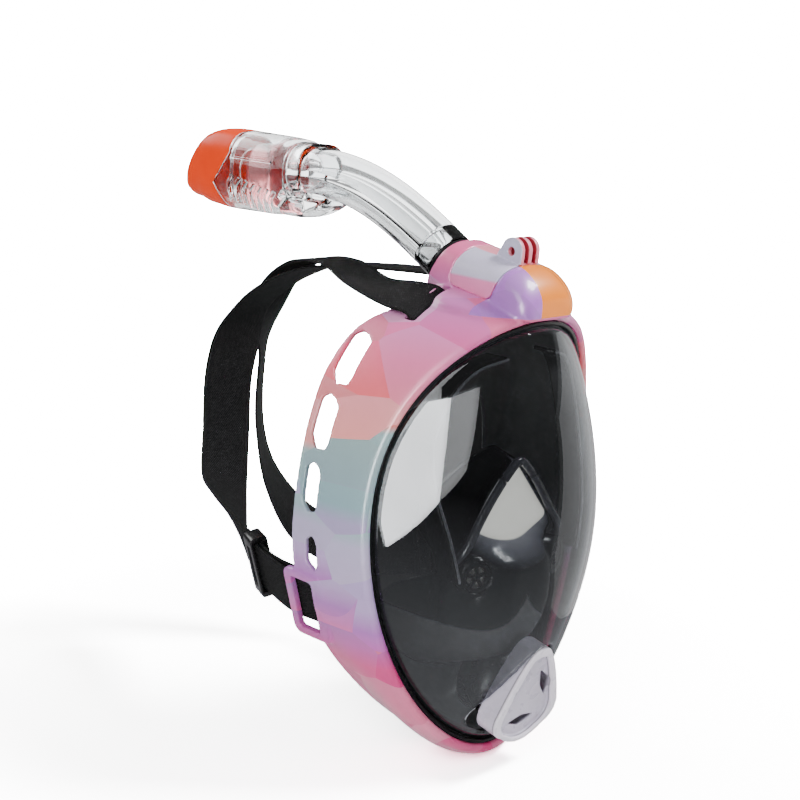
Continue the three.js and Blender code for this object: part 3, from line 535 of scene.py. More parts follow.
def pocket_point(angle, r):
    """The pocket's front: a dome, flat at the nose and raised into a lobe at each intake valve."""
    edge = -24.5 - 10.5 * math.cos(2 * angle) - 13 * math.cos(angle)
    x = POCKET_WIDTH * math.sin(angle) * (1 - 0.3 * math.cos(angle)) * r
    z = POCKET_Z + POCKET_HEIGHT * math.cos(angle) * r
    y = POCKET_FRONT + (edge - POCKET_FRONT) * r**4.5
    y += (NOSE_Y - y) * eased(z, NOSE_LOW, NOSE_HIGH) * (1 - eased(r, 0.9, 1))
    away = math.hypot(abs(x) - INTAKE.x, z - INTAKE.z) / LOBE_SPREAD
    lobe = INTAKE.y + 1.5
    return Vector((x, y + min(0, lobe - y) * math.exp(-(away**2)), z))


def intake_place(side):
    """Takes (a, b, out) to a place at an intake valve, out along its face."""
    outward = Vector((side * math.sin(INTAKE_TURN), -math.cos(INTAKE_TURN), 0))
    across = Vector((math.cos(INTAKE_TURN), side * math.sin(INTAKE_TURN), 0))
    centre = Vector((side * INTAKE.x, INTAKE.y, INTAKE.z))
    return lambda p: centre + across * p[0] + Vector((0, 0, p[1])) + outward * p[2]


def drop_last_face(obj):
    """Opens a loft at its last ring."""
    bm = bmesh.new()
    bm.from_mesh(obj.data)
    bm.faces.ensure_lookup_table()
    bmesh.ops.delete(bm, geom=[bm.faces[-1]], context="FACES_ONLY")
    bm.to_mesh(obj.data)
    bm.free()


def bar_along(points, radius, count, fine=24):
    """A round bar through points."""
    rings = []
    route = [Vector(p) for p in points]
    for u in steps(fine):
        here, ahead = centripetal(route, u), heading(route, u, 0.01)
        side = ahead.orthogonal().normalized()
        up = ahead.cross(side)
        rings.append([here + side * a + up * b for a, b in circle(radius, count)])
    return loft("bar", rings)


def pipe(outer, inner, low, high, place, past=1):
    """A round tube whose cutter runs past both of its ends."""
    bore = prism(circle(inner), low - past, high + past, place)
    return combine(prism(circle(outer), low, high, place), bore)


def build_pocket():
    """The domed pocket with a tube at each intake valve and a hole at the chin valve."""
    angles = steps(POCKET_SIDES + 1, 0, math.tau)[:-1]
    radii = [(i / POCKET_RINGS) ** 0.75 for i in range(1, POCKET_RINGS + 1)]
    shell = loft("pocket", [[pocket_point(a, r) for a in angles] for r in radii])
    drop_last_face(shell)
    wall = shell.modifiers.new("wall", "SOLIDIFY")
    wall.thickness, wall.offset, wall.use_even_offset = POCKET_WALL * MM, -1, True
    bake(shell)
    tubes = []
    for side in (1, -1):
        place = intake_place(side)
        tubes.append(pipe(VALVE_TUBE, VALVE_BORE, -24, 2, place, 5))
        combine(shell, prism(circle(VALVE_BORE), -22, 20, place))
    combine(shell, prism([(x, z + CHIN_Z) for x, z in circle(CHIN_TUBE + 0.35)], -95, -40, in_front))
    return join("pocket", shell, *tubes)


def build_nose_rib():
    """The rolled rib over the nose, down to the foot of each eye chamber wall."""
    route = [(-x, y, z) for x, y, z in reversed(NOSE_RIDGE[1:])] + NOSE_RIDGE
    return bar_along(route, RIDGE_RADIUS, 24, 120)


WALL_ROUTE = [(50, -14), (56, 10), (61, 35), (60, 60), (51, 82), (37, 97), (20, 103)]
WALL_GAP, WALL_DEPTH, BEAD_GAP, BEAD_RADIUS = 7, 15, 6.2, 0.8


def lens_depth(x, z):
    """The Y of the lens's back at a place in front view."""
    aim = math.atan2(abs(x), z)
    t = aim
    for _ in range(20):
        p = rim(t)
        t += aim - math.atan2(p.x, p.z)
    edge = rim(t)
    return lens_point(t, math.hypot(x, z) / math.hypot(edge.x, edge.z), LENS_THICKNESS).y


def build_eye_wall(side):
    rings = []
    for u in steps(60):
        x, z = spline_at(WALL_ROUTE, u)
        before, after = (Vector(spline_at(WALL_ROUTE, v)) for v in (max(u - 0.01, 0), min(u + 0.01, 1)))
        ahead = after - before
        across = Vector((-ahead.y, ahead.x)).normalized()
        front = lens_depth(x, z) + WALL_GAP
        back = front + WALL_DEPTH
        outline = rounded([(1.2, front), (-1.2, front), (-1, back), (1, back)], 0.9, 4)
        rings.append([Vector((side * (x + k * across.x), y, z + k * across.y)) for k, y in outline])
    return loft("wall", rings)


def build_wall_bead(side):
    """The rolled front edge of an eye chamber wall."""
    route = []
    for u in steps(40):
        x, z = spline_at(WALL_ROUTE, u)
        route.append((side * x, lens_depth(x, z) + BEAD_GAP, z))
    return bar_along(route, BEAD_RADIUS, 12, 160)


SEAT_RING, HUB_RADIUS, SPOKE_HALF_WIDTH = 2.4, 1.8, 0.8


def build_seat(radius, thickness, spokes, place):
    """A ring with spokes and a hub."""
    hub = prism(circle(HUB_RADIUS, 32), 0, thickness + 0.4, place)
    parts = [pipe(radius, radius - SEAT_RING, 0, thickness, place), hub]
    for i in range(spokes):
        outline = rectangle(0, -SPOKE_HALF_WIDTH, radius - SEAT_RING / 2, SPOKE_HALF_WIDTH)
        spoke = turned(outline, 360 * i / spokes + 90)
        parts.append(prism(spoke, 0.1, thickness - 0.1, place))
    return mould(join("seat", *parts), 0.25, 3)


FLAP_PROFILE = [(0.2, 0), (0.7, 0), (1, 0.1), (1.02, 0.3), (0.95, 0.5), (0.4, 0.8), (0.2, 0.9), (0.02, 0.9)]


def build_flap(radius, place):
    return loft("flap", [[place((a, b, -h)) for a, b in circle(radius * r)] for r, h in FLAP_PROFILE])


# ------------------------------------------------------------------ chin vent
VENT_TILT, VENT_PIVOT, VENT_FACE, VENT_RECESS = math.radians(12), Vector((0, -86, -92)), -89.5, 3.2


PETAL, PETAL_TURN, PETAL_CENTRE_Z = [(-12, -13.6), (0, -18.8), (12, -13.6), (0, -11)], 118, -88


def build_vent_cover():
    """A hollow rounded triangle whose sunk panel has three petal slots."""
    tilt = Matrix.Rotation(VENT_TILT, 4, "X")

    def tilted(p):
        return VENT_PIVOT + tilt @ (in_front(p) - VENT_PIVOT)

    face = prism(vent_outline(0), VENT_FACE, -75.5, tilted)
    combine(face, prism(vent_outline(-2.4), -84.4, -70, tilted))
    combine(face, prism(vent_outline(-5.6), -95, VENT_FACE + VENT_RECESS, tilted))
    mould(face, 0.4, 3)
    petal = rounded(PETAL, 3, 6)
    for degrees in (0, -PETAL_TURN, PETAL_TURN):
        slot = [(a, b + PETAL_CENTRE_Z) for a, b in turned(petal, degrees)]
        combine(face, prism(slot, -100, -70, tilted))
    return face


def at_chin(depth):
    """Takes (x, up, back) to a place at the chin valve, this far back."""
    return lambda p: Vector((p[0], depth + p[2], p[1] + CHIN_Z))


def build_chin_seat():
    tube = pipe(CHIN_TUBE, CHIN_BORE, 0, 24, at_chin(CHIN_Y))
    return join("chin_seat", tube, build_seat(CHIN_SEAT, 2, 6, at_chin(CHIN_Y)))


# ------------------------------------------------------------------ snorkel
TUBE_ROUTE = [(8, 155.6), (24, 164), (42, 172), (62, 178.5), (82, 182.2), (98, 183), (112, 182.4)]


def sweep(name, route, outline):
    """Sweeps an outline of (across, up) points along a route in Y and Z."""
    rings = []
    for u in steps(90):
        here = centripetal(route, u)
        up = Vector((1, 0, 0)).cross(heading(route, u, 0.005))
        rings.append([here + Vector((a, 0, 0)) + up * b for a, b in outline])
    return loft(name, rings)


CHANNEL_HALF_WIDTH, CHANNEL_HALF_HEIGHT, CHANNEL_START = 14, 12.5, 0.14


def build_tube():
    """An oval tube with a wall across it that parts its two channels."""
    route = [on_axis(5.2), *(Vector((0, y, z)) for y, z in TUBE_ROUTE)]
    longer = [route[0] - (route[1] - route[0]) * 0.3, *route, route[-1] + (route[-1] - route[-2]) * 0.3]
    tube = sweep("tube", route, arc(TUBE_WIDTH / 2, TUBE_HEIGHT / 2, 97)[:-1])
    for height in (CHANNEL_HALF_HEIGHT, -CHANNEL_HALF_HEIGHT):
        channel = arc(CHANNEL_HALF_WIDTH, height, 40, CHANNEL_START, math.pi - CHANNEL_START)
        combine(tube, sweep("channel", longer, channel))
    return soften(combine(tube, socket_tube(-2, 18, 28.2, 25.2)), 0.4, 50, 2)


def build_plug():
    """The stepped plug at the foot of the tube, grooved for the socket's seal."""
    body = socket_tube(-20, 0.4, TUBE_WIDTH - 0.2, TUBE_HEIGHT - 0.2)
    combine(body, socket_tube(-1, 5, 27, 24), socket_tube(4.8, 17, 27.4, 24.4), how="UNION")
    groove = combine(socket_tube(-12, -8.4, 44, 40), socket_tube(-13, -7, 28.4, 25.4))
    combine(body, groove, socket_tube(-24, 24, 23.4, 20.4))
    return soften(body, 0.35, 40, 2)


def build_ring(start, end, inner, outer):
    bore = socket_tube(start - 1, end + 1, inner, inner - 3)
    ring = combine(socket_tube(start, end, outer, outer - 3), bore)
    return soften(ring, 0.7, 40, 4)


TOP_OUTSIDE = [
    (99, 182.5, 0, 37.5, 34.5), (105, 182.3, 0, 37.8, 34.8), (110, 182, 0, 38, 35), (114, 181, 0, 39, 38),
    (118, 179.8, 0, 40.6, 42.4), (123, 178.4, 0, 41.8, 46), (130, 178, 0, 42.4, 47.6),
    (145, 178, 0, 42.6, 48.2), (163, 178, 0, 43.2, 49), (178, 178.3, 0, 43.4, 49), (186, 178, 0, 42.8, 46.4),
    (191, 177.6, 0, 41.5, 43), (196, 176, 0, 40, 37.5), (201, 173, 0, 38, 30), (205, 170.6, 0, 34.5, 21),
    (207, 169.4, 0, 31, 15),
]
TOP_INSIDE = [
    (114, 181, 0, 34, 32), (119, 180, 0, 36, 36), (126, 178, 0, 38, 43), (150, 178, 0, 38.6, 44.4),
    (176, 178.2, 0, 38.4, 43.8), (189, 177.4, 0, 36.5, 38), (198, 173.5, 0, 33, 26), (203, 170, 0, 27, 12),
]
CAP_EDGE = [(161, 214), (160.5, 189), (174, 170), (164, 152), (163, 142)]


def cap_zone(margin):
    edge = [(y + margin, z) for y, z in CAP_EDGE]
    return prism([*edge, (230, 142), (230, 214)], -40, 40, in_profile)


def top_shell():
    shell = oval_loft("top", TOP_OUTSIDE, 3, 96, fine=3)
    return combine(shell, oval_loft("room", TOP_INSIDE, 3, 96, fine=3))


SPOUT = [(84, 168, 0, 22, 6), (92, 166, 0, 28, 12), (104, 164, 0, 31, 17), (119, 164, 0, 32, 18)]
GRIP_RIBS, GRIP_START, GRIP_PITCH = 7, 117, 6.4


def build_dry_top():
    """The open half of the dry top, with its drain spout and the grip ribs on its sides."""
    shell = combine(top_shell(), cap_zone(-0.2))
    combine(shell, oval_loft("neck", [(90, 183, 0, 33, 30.6), (115, 182.4, 0, 33, 30.6)], 2, 96))
    spout = oval_loft("spout", SPOUT, 3, 64, fine=4)
    past_tube = [Vector((0, y, z)) for y, z in TUBE_ROUTE[3:]]
    combine(spout, sweep("clear", past_tube, arc(16.5, 15.1, 65)[:-1]))
    combine(spout, oval_loft("room", [(100, 162.5, 0, 27, 13), (126, 163, 0, 27, 13)], 3, 64))
    combine(shell, spout, how="UNION")
    for side in (1, -1):
        for i in range(GRIP_RIBS):
            y = GRIP_START + GRIP_PITCH * i
            rib = [(20.3, y, 157 + i * 0.6), (21.9, y + 2.2, 165 + i), (21.6, y - 0.8, 170 + i)]
            combine(shell, bar_along([(side * a, b, c) for a, b, c in rib], 1.5, 12), how="UNION")
        rail = [(side * 21, y, 187) for y in (121, 135, 148, 158)]
        combine(shell, bar_along(rail, 0.9, 12), how="UNION")
    return soften(shell, 0.35, 42, 2)


INLET, INLET_PITCH, INLET_Y = rectangle(-3.5, -8, 3.5, 8), 10, 180


def build_cap():
    """The cap, with three air inlets cut in its underside."""
    shell = combine(top_shell(), cap_zone(0.15), how="INTERSECT")
    for i in (-1, 0, 1):
        inlet = [(i * INLET_PITCH + a, INLET_Y + b) for a, b in rounded(INLET, 2.4, 6)]
        combine(shell, prism(inlet, 147, 161, Vector))
    return soften(shell, 0.6, 42, 3)


def build_float():
    sections = [(124, 178, 0, 26, 30), (125, 178, 0, 30, 34), (127, 178, 0, 33, 37), (135, 178, 0, 33, 37),
                (144, 178, 0, 33, 37), (146, 178, 0, 31.6, 35.6), (147, 178, 0, 30, 34)]
    return soften(oval_loft("float", sections, 3, 96, fine=2), 0.6, 38, 3)


# ------------------------------------------------------------------ head harness
CROWN_ROUTE = [(33, 20, 131, 1, 0, -0.1), (17, 62, 131, 1, 0, 0), (3, 106, 124, 1, 0, 0)]
INNER_ROUTE = [
    (-11, 142, 98, 1, 0, 0), (-15, 158, 58, 0.75, -0.66, 0), (-16, 159, 12, 0.75, -0.66, 0),
    (-24, 149, -15, 0.76, -0.58, -0.3), (-39, 124, -27, 0.66, -0.3, -0.7), (-57, 92, -33, 0.4, 0, -0.9),
    (-71, 60, -37, 0.3, 0, -0.95),
]
OUTER_ROUTE = [
    (-11, 149, 102, 1, 0, 0), (-15, 162, 59, 0.75, -0.66, 0), (-16, 163, 12, 0.75, -0.66, 0),
    (-23, 156, -24, 0.76, -0.58, -0.3), (-39, 135, -56, 0.66, -0.3, -0.7), (-60, 100, -66, 0.4, 0, -0.9),
    (-73, 60, -57, 0.3, 0, -0.95),
]
CROWN_LIFT, SLIDER_STATION, TAIL_OFFSET = 4.6, 9, 2.6


def strap_frame(stations):
    """A function of u that gives a strap's (place, along, across, normal) through its stations."""
    centres = [Vector(s[:3]) for s in stations]
    widths = [Vector(s[3:]).normalized() for s in stations]

    def at(u):
        here, along = centripetal(centres, u), heading(centres, u, 1e-3)
        across = centripetal(widths, u)
        across = (across - along * across.dot(along)).normalized()
        return here, along, across, along.cross(across)

    return at


def crown_end(side):
    """Stations from inside the frame, through its crown slot and back over the strap."""
    place = crown_place(side)
    across = Vector((0, 1, 0)).cross(rim_out(side * CROWN_ANGLE))
    turn = [(16, -7.4), (4, -6.8), (-5, -6.2), (-9.8, -2.2), (-5, 1.9), (5, 2.6)]
    return [(*place((0, back, up)), *across) for back, up in turn]


def ear_end(side):
    """Stations round the bar in an ear."""
    place = ear_place(side)
    across = Vector((0, -1, 0)).cross(rim_out(side * EAR_ANGLE))
    turn = [(20, -6.8), (4, -7.2), (-7, -7.4), (-10.8, -9.7), (-7, -12), (14, -10.8)]
    return [(*place((0, y, up)), *across) for y, up in turn]


def strap_stations(crown_side, outer):
    """The stations of one strap from a crown slot to the other side's ear, and its slider's frame."""
    route = []
    for i, (x, y, z, *across) in enumerate(CROWN_ROUTE):
        lift = CROWN_LIFT if outer and i > 0 else 0
        route.append((x, y + (1 if outer and i > 1 else 0), z + lift, *across))
    route += OUTER_ROUTE if outer else INNER_ROUTE
    sided = [(crown_side * x, y, z, wx, crown_side * wy, crown_side * wz) for x, y, z, wx, wy, wz in route]
    main = [*crown_end(crown_side), *sided, *ear_end(-crown_side)]
    at = strap_frame(main)
    slider = len(crown_end(crown_side)) + SLIDER_STATION
    tail = []
    for step in (0.6, 0, -0.5):
        here, _, across, normal = at((slider + step) / (len(main) - 1))
        tail.append((*(here + normal * TAIL_OFFSET), *across))
    return main + tail, at(slider / (len(main) - 1))


def build_strap(stations):
    """Webbing with rounded selvedges, each point keeping its place in the weave."""
    at = strap_frame(stations)
    half, thick = STRAP_WIDTH / 2, STRAP_THICKNESS / 2
    across_steps = [-1, -0.985, -0.95, *steps(13, -0.88, 0.88), 0.95, 0.985, 1]
    top = [(k, thick * min(1, (1.0001 - abs(k)) ** 0.5 * 5)) for k in across_steps]
    section = top + [(k, -h) for k, h in reversed(top[1:-1])]
    rings, weave, run, before = [], [], 0, None
    for u in steps(900):
        here, _, across, normal = at(u)
        run += (here - before).length if before else 0
        before = here
        rings.append([here + across * (half * k) + normal * h for k, h in section])
        weave += [(half * k, run, h) for k, h in section]
    strap = loft("strap", rings)
    attribute = strap.data.attributes.new("weave", "FLOAT_VECTOR", "POINT")
    attribute.data.foreach_set("vector", [v for p in weave for v in p])
    return strap


def build_slider(here, along, across, normal):
    middle = here + normal * (TAIL_OFFSET / 2)

    def place(p):
        return middle + across * p[0] + normal * p[1] + along * p[2]

    shell = prism(rounded(rectangle(-19.3, -5.3, 19.3, 5.3), 2.6, 6), -6, 6, place)
    combine(shell, prism(rounded(rectangle(-16.2, -3.8, 16.2, 3.8), 0.8), -8, 8, place))
    for side in (-1, 1):
        notch = rounded(rectangle(-13, side * 5.3 - 1, 13, side * 5.3 + 1), 0.5)
        combine(shell, prism(notch, -2.6, 2.6, place))
    return soften(shell, 0.7, 40, 3)


# ------------------------------------------------------------------ materials
M = {}  # each material and world, by the name it is made with


class Nodes:
    """A node tree of a new material, or of a new world, built up by short calls."""

    def __init__(self, name, world=False):
        self.owner = (bpy.data.worlds if world else bpy.data.materials).new(name)
        M[name] = self.owner
        self.owner.use_nodes = True
        self.tree = self.owner.node_tree
        self.tree.nodes.clear()
        self.output = self.add("ShaderNodeOutputWorld" if world else "ShaderNodeOutputMaterial")
        self.place = self.add("ShaderNodeTexCoord").outputs["Object"]

    def add(self, kind, inputs=None, **settings):
        """A node with its settings; each input is a value or another node's output."""
        node = self.tree.nodes.new(kind)
        for key, value in settings.items():
            setattr(node, key, value)
        for key, value in (inputs or {}).items():
            if isinstance(value, bpy.types.NodeSocket):
                self.tree.links.new(value, node.inputs[key])
            else:
                node.inputs[key].default_value = value
        return node

    def show(self, shader):
        self.tree.links.new(shader, self.output.inputs["Surface"])

    def noise(self, scale, detail=3.0):
        inputs = {"Scale": scale, "Detail": detail, "Roughness": 0.5, "Vector": self.place}
        return self.add("ShaderNodeTexNoise", inputs).outputs["Fac"]

    def ramp(self, value, stops):
        node = self.add("ShaderNodeValToRGB", {"Fac": value})
        elements = node.color_ramp.elements
        while len(elements) < len(stops):
            elements.new(0.5)
        for element, (position, colour) in zip(elements, stops):
            element.position = position
            element.color = (*colour, 1)
        return node.outputs["Color"]

    def spread(self, value, low, high):
        """Takes 0 to 1 into low to high."""
        inputs = {"Value": value, "To Min": low, "To Max": high}
        return self.add("ShaderNodeMapRange", inputs).outputs["Result"]

    def between(self, value, low, high, how="SMOOTHSTEP"):
        """Rises from 0 to 1 as the value goes from low to high."""
        inputs = {"Value": value, "From Min": low, "From Max": high}
        return self.add("ShaderNodeMapRange", inputs, interpolation_type=how).outputs["Result"]

    def math(self, operation, *values):
        return self.add("ShaderNodeMath", dict(enumerate(values)), operation=operation).outputs["Value"]

    def split(self, vector):
        """The X, Y and Z of a vector."""
        return tuple(self.add("ShaderNodeSeparateXYZ", {"Vector": vector}).outputs)

    def shaded(self, colour, **factors):
        """A colour with its Value or Saturation multiplied."""
        return self.add("ShaderNodeHueSaturation", {"Color": colour, **factors}).outputs["Color"]

    def lighter(self, a, b):
        """The lighter of two colours."""
        inputs = {"Factor": 1, "A": a, "B": b}
        return self.add("ShaderNodeMix", inputs, data_type="RGBA", blend_type="LIGHTEN").outputs["Result"]

    def where(self, mask, colour, other):
        """The colour, and the other one where the mask is 1."""
        inputs = {"Factor": mask, "A": colour, "B": (*other, 1)}
        return self.add("ShaderNodeMix", inputs, data_type="RGBA").outputs["Result"]

    def above(self, value, sign, edge):
        """1 where sign * value is above the edge."""
        return self.math("GREATER_THAN", self.math("MULTIPLY", value, sign), edge)

    def both(self, a, b):
        return self.math("MULTIPLY", a, b)

    def bump(self, height, strength, distance):
        inputs = {"Strength": strength, "Distance": distance, "Height": height}
        return self.add("ShaderNodeBump", inputs).outputs["Normal"]

    def choose(self, test, shader, other):
        """The shader, and the other one where the test is 1."""
        return self.add("ShaderNodeMixShader", {"Fac": test, 1: shader, 2: other}).outputs["Shader"]

    def surface(self, colour, rough, normal=None, **values):
        inputs = {key.replace("_", " "): value for key, value in values.items()}
        inputs.update({"Base Color": colour, "Roughness": rough})
        if normal is not None:
            inputs["Normal"] = normal
        self.show(self.add("ShaderNodeBsdfPrincipled", inputs).outputs["BSDF"])


def tone(colour, factor):
    return tuple(min(1, c * factor) for c in colour)


def plain(name, colour, rough, bump=0.0, vary=0.12, **values):
    """A moulded material: its colour and roughness wander a little, with a fine grain."""
    n = Nodes(name)
    tint = n.ramp(n.noise(60), [(0.3, tone(colour, 1 - vary)), (0.7, tone(colour, 1 + vary))])
    shine = n.spread(n.noise(140, 2), rough * 0.85, rough * 1.15)
    normal = n.bump(n.noise(900, 2), bump, 0.0002) if bump else None
    n.surface(tint, shine, normal, **values)


def rgb(r, g, b):
    """Linear light from an 8-bit colour."""
    return tuple((c / 255 / 12.92) if c < 11 else ((c / 255 + 0.055) / 1.055) ** 2.4 for c in (r, g, b))


PRINT_STOPS = [
    (0.0, rgb(214, 116, 150)), (0.12, rgb(228, 116, 152)), (0.25, rgb(222, 122, 160)),
    (0.29, rgb(196, 122, 176)), (0.335, rgb(172, 124, 180)), (0.38, rgb(182, 162, 198)),
    (0.5, rgb(178, 170, 200)), (0.53, rgb(152, 176, 184)), (0.62, rgb(160, 184, 186)),
    (0.635, rgb(240, 152, 148)), (0.73, rgb(238, 150, 160)), (0.84, rgb(228, 136, 172)),
    (0.93, rgb(200, 138, 186)), (1.0, rgb(224, 134, 168)),
]
PRINT_LOW, PRINT_HIGH, SHARD_JUMP = -0.131, 0.163, 0.016
BROW_FRONT, BROW_FOOT, BROW_PATCH = 0.056, 0.1255, 0.009
PEACH, VIOLET = rgb(238, 150, 96), rgb(176, 130, 196)


def printed_shell():
    """A low-poly colour print: shards that take their colour from the height of their middle."""
    n = Nodes("printed_shell")
    stretch = n.add("ShaderNodeMapping", {
        "Vector": n.place, "Scale": (1.0, 0.75, 1.35), "Rotation": (0.5, 0.35, 0.2),
    })
    shards = n.add("ShaderNodeTexVoronoi", {"Vector": stretch.outputs["Vector"], "Scale": 30})
    tint = n.add("ShaderNodeSeparateColor", {"Color": shards.outputs["Color"]})
    x, y, z = n.split(n.place)
    level = n.math("ADD", z, n.spread(tint.outputs["Red"], -SHARD_JUMP, SHARD_JUMP))
    colour = n.ramp(n.between(level, PRINT_LOW, PRINT_HIGH, "LINEAR"), PRINT_STOPS)
    brow = n.both(n.above(y, -1, BROW_FRONT), n.above(z, 1, BROW_FOOT))
    colour = n.where(n.both(brow, n.above(x, 1, -BROW_PATCH)), colour, PEACH)
    colour = n.where(n.both(brow, n.above(x, -1, BROW_PATCH)), colour, VIOLET)
    colour = n.shaded(colour, Value=n.spread(tint.outputs["Green"], 0.82, 1.06),
                      Saturation=n.spread(tint.outputs["Blue"], 0.95, 1.35))
    n.surface(colour, n.spread(n.noise(160, 2), 0.28, 0.4), n.bump(n.noise(700, 2), 0.05, 0.0001),
              Coat_Weight=0.35, Coat_Roughness=0.08)


MOUNT_STOPS = [
    (0.0, rgb(232, 130, 176)), (0.34, rgb(226, 128, 176)), (0.38, rgb(196, 190, 214)),
    (1.0, rgb(186, 184, 206)),
]
FINGER_FOOT, FINGER_SIDE, FINGER_WALL = 0.1505, 0.0072, 0.0058
FINGER_PINK, FINGER_RED = rgb(232, 140, 160), rgb(150, 24, 44)


def mount_print():
    """The camera mount: lavender grey above, pink below, dark red between its fingers."""
    n = Nodes("mount_print")
    x, _, z = n.split(n.place)
    side = n.math("ABSOLUTE", x)
    raised = n.above(z, 1, FINGER_FOOT)
    colour = n.ramp(n.between(z, 0.13, 0.165, "LINEAR"), MOUNT_STOPS)
    colour = n.where(n.both(raised, n.above(side, -1, -FINGER_SIDE)), colour, FINGER_PINK)
    facing = n.math("ABSOLUTE", n.split(n.add("ShaderNodeNewGeometry").outputs["True Normal"])[0])
    walls = n.both(n.both(raised, n.above(side, -1, -FINGER_WALL)), n.above(facing, 1, 0.7))
    colour = n.shaded(n.where(walls, colour, FINGER_RED), Value=n.spread(n.noise(90), 0.94, 1.05))
    n.surface(colour, n.spread(n.noise(160, 2), 0.3, 0.42), Coat_Weight=0.3, Coat_Roughness=0.1)


LENS_INDEX = 1.5


def smoked_lens():
    """Tinted polycarbonate: straight through with a smoke tint, and a clear reflection."""
    n = Nodes("smoked_lens")
    smoke = n.ramp(n.noise(25), [(0.3, (0.6, 0.61, 0.615)), (0.7, (0.63, 0.64, 0.645))])
    clear = n.add("ShaderNodeBsdfTransparent", {"Color": smoke})
    shine = n.add("ShaderNodeBsdfGlossy", {
        "Color": (0.95, 0.97, 1, 1), "Roughness": n.spread(n.noise(90), 0.01, 0.03),
    })
    # a ray leaving through the back face meets the same step in density as one that enters
    leaving = n.add("ShaderNodeNewGeometry").outputs["Backfacing"]
    fresnel = n.add("ShaderNodeFresnel", {"IOR": n.spread(leaving, LENS_INDEX, 1 / LENS_INDEX)})
    n.show(n.choose(fresnel.outputs["Fac"], clear.outputs["BSDF"], shine.outputs["BSDF"]))


NOSE_TOP, NOSE_CORNER, NOSE_FOOT, NOSE_HALF_WIDTH = 0.041, 0.009, 0.001, 0.028
# the nose panel's own pale colour, and the strength of the glow painted on it
NOSE_COLOUR, NOSE_PAINTED_GLOW = (0.8, 0.78, 0.72), 1.3
LOBE_X, LOBE_Z, LOBE_REACH, LOBE_EDGE = 0.03, -0.012, 0.035, 0.0012
NONE = (0, 0, 0)


def pocket_silicone():
    """Glossy black silicone round a thin, pale nose panel with a painted glow, a painted lavender-grey
    reflection round the panel and a painted grey reflection below the valve lobes.
    """
    n = Nodes("pocket_silicone")
    x, _, z = n.split(n.place)
    side = n.math("ABSOLUTE", x)
    # the panel is a triangle with its point up and a curved foot
    slope = NOSE_HALF_WIDTH / (NOSE_TOP - NOSE_CORNER)
    within = n.math("SUBTRACT", n.math("MULTIPLY", n.math("SUBTRACT", NOSE_TOP, z), slope), side)
    curve = n.math("POWER", n.math("DIVIDE", side, NOSE_HALF_WIDTH), 2.0)
    foot = n.math("ADD", n.math("MULTIPLY", curve, NOSE_CORNER - NOSE_FOOT), NOSE_FOOT)
    above_foot = n.math("SUBTRACT", z, foot)

    def panel(soft_side, soft_foot, stops):
        across = n.between(within, -soft_side, soft_side)
        return n.ramp(n.both(across, n.between(above_foot, -soft_foot, soft_foot)), stops)

    core = panel(0.004, 0.004, [(0.2, NONE), (0.34, (1, 1, 1))])
    # painted reflection: a lavender-grey band round the nose panel on the black silicone, reaching furthest
    # below the panel's foot
    painted_reflection_band = panel(0.006, 0.022, [(0.06, NONE), (0.3, (0.22, 0.22, 0.27)), (0.5, (0.42, 0.42, 0.48))])
    # painted glow: emission makes the nose panel shine as if lit through from behind, brightest in its
    # middle
    glow = panel(0.004, 0.004, [(0.2, NONE), (0.36, NOSE_COLOUR), (1.0, (1, 0.98, 0.92))])
    away_x = n.math("POWER", n.math("SUBTRACT", side, LOBE_X), 2.0)
    away_z = n.math("POWER", n.math("SUBTRACT", z, LOBE_Z), 2.0)
    away = n.math("SQRT", n.math("ADD", away_x, away_z))
    past_lobe = n.between(away, LOBE_REACH - LOBE_EDGE, LOBE_REACH + LOBE_EDGE)
    # painted reflection: the lower part of the black pocket, below and between the valve lobes, is coloured
    # grey
    grey = n.both(past_lobe, n.between(z, -0.005, -0.015))
    colour = n.ramp(grey, [(0.0, (0.003, 0.003, 0.0035)), (1.0, (0.2, 0.203, 0.215))])
    colour = n.where(core, n.lighter(colour, painted_reflection_band), NOSE_COLOUR)
    n.surface(colour, n.spread(n.noise(60), 0.14, 0.2), Emission_Color=glow,
              Emission_Strength=NOSE_PAINTED_GLOW)


# painted shade of the recess: light on the rim, dark down the recess wall, a little darker on the sunk panel
VENT_PAINTED_SHADE_STOPS = [(0.0, rgb(226, 220, 232)), (0.5, rgb(120, 116, 128)), (0.9, rgb(196, 190, 206))]


def vent_plastic():
    """Pale lavender, with painted shade: dark down the wall of the cover's recess and a little darker on the
    panel sunk inside the rim.
    """
    n = Nodes("vent_plastic")
    _, y, z = n.split(n.place)
    behind = n.math("MULTIPLY", n.math("SUBTRACT", y, VENT_PIVOT.y * MM), math.cos(VENT_TILT))
    higher = n.math("MULTIPLY", n.math("SUBTRACT", z, VENT_PIVOT.z * MM), math.sin(VENT_TILT))
    rim_depth = (VENT_FACE - VENT_PIVOT.y) * MM
    # how deep a point lies behind the rim's face, which sets the painted recess shade
    sunk = n.between(n.math("ADD", behind, higher), rim_depth + 0.0006, rim_depth + 0.003)
    grain = n.bump(n.noise(900, 2), 0.08, 0.0002)
    n.surface(n.ramp(sunk, VENT_PAINTED_SHADE_STOPS), n.spread(n.noise(140, 2), 0.24, 0.32), grain, Coat_Weight=0.2)


THREAD_STOPS = [(0.0, (0.0015, 0.0015, 0.0018)), (1.0, (0.006, 0.006, 0.0065))]
THREAD_RATE, RIB_RATE = 5.2, 3.4


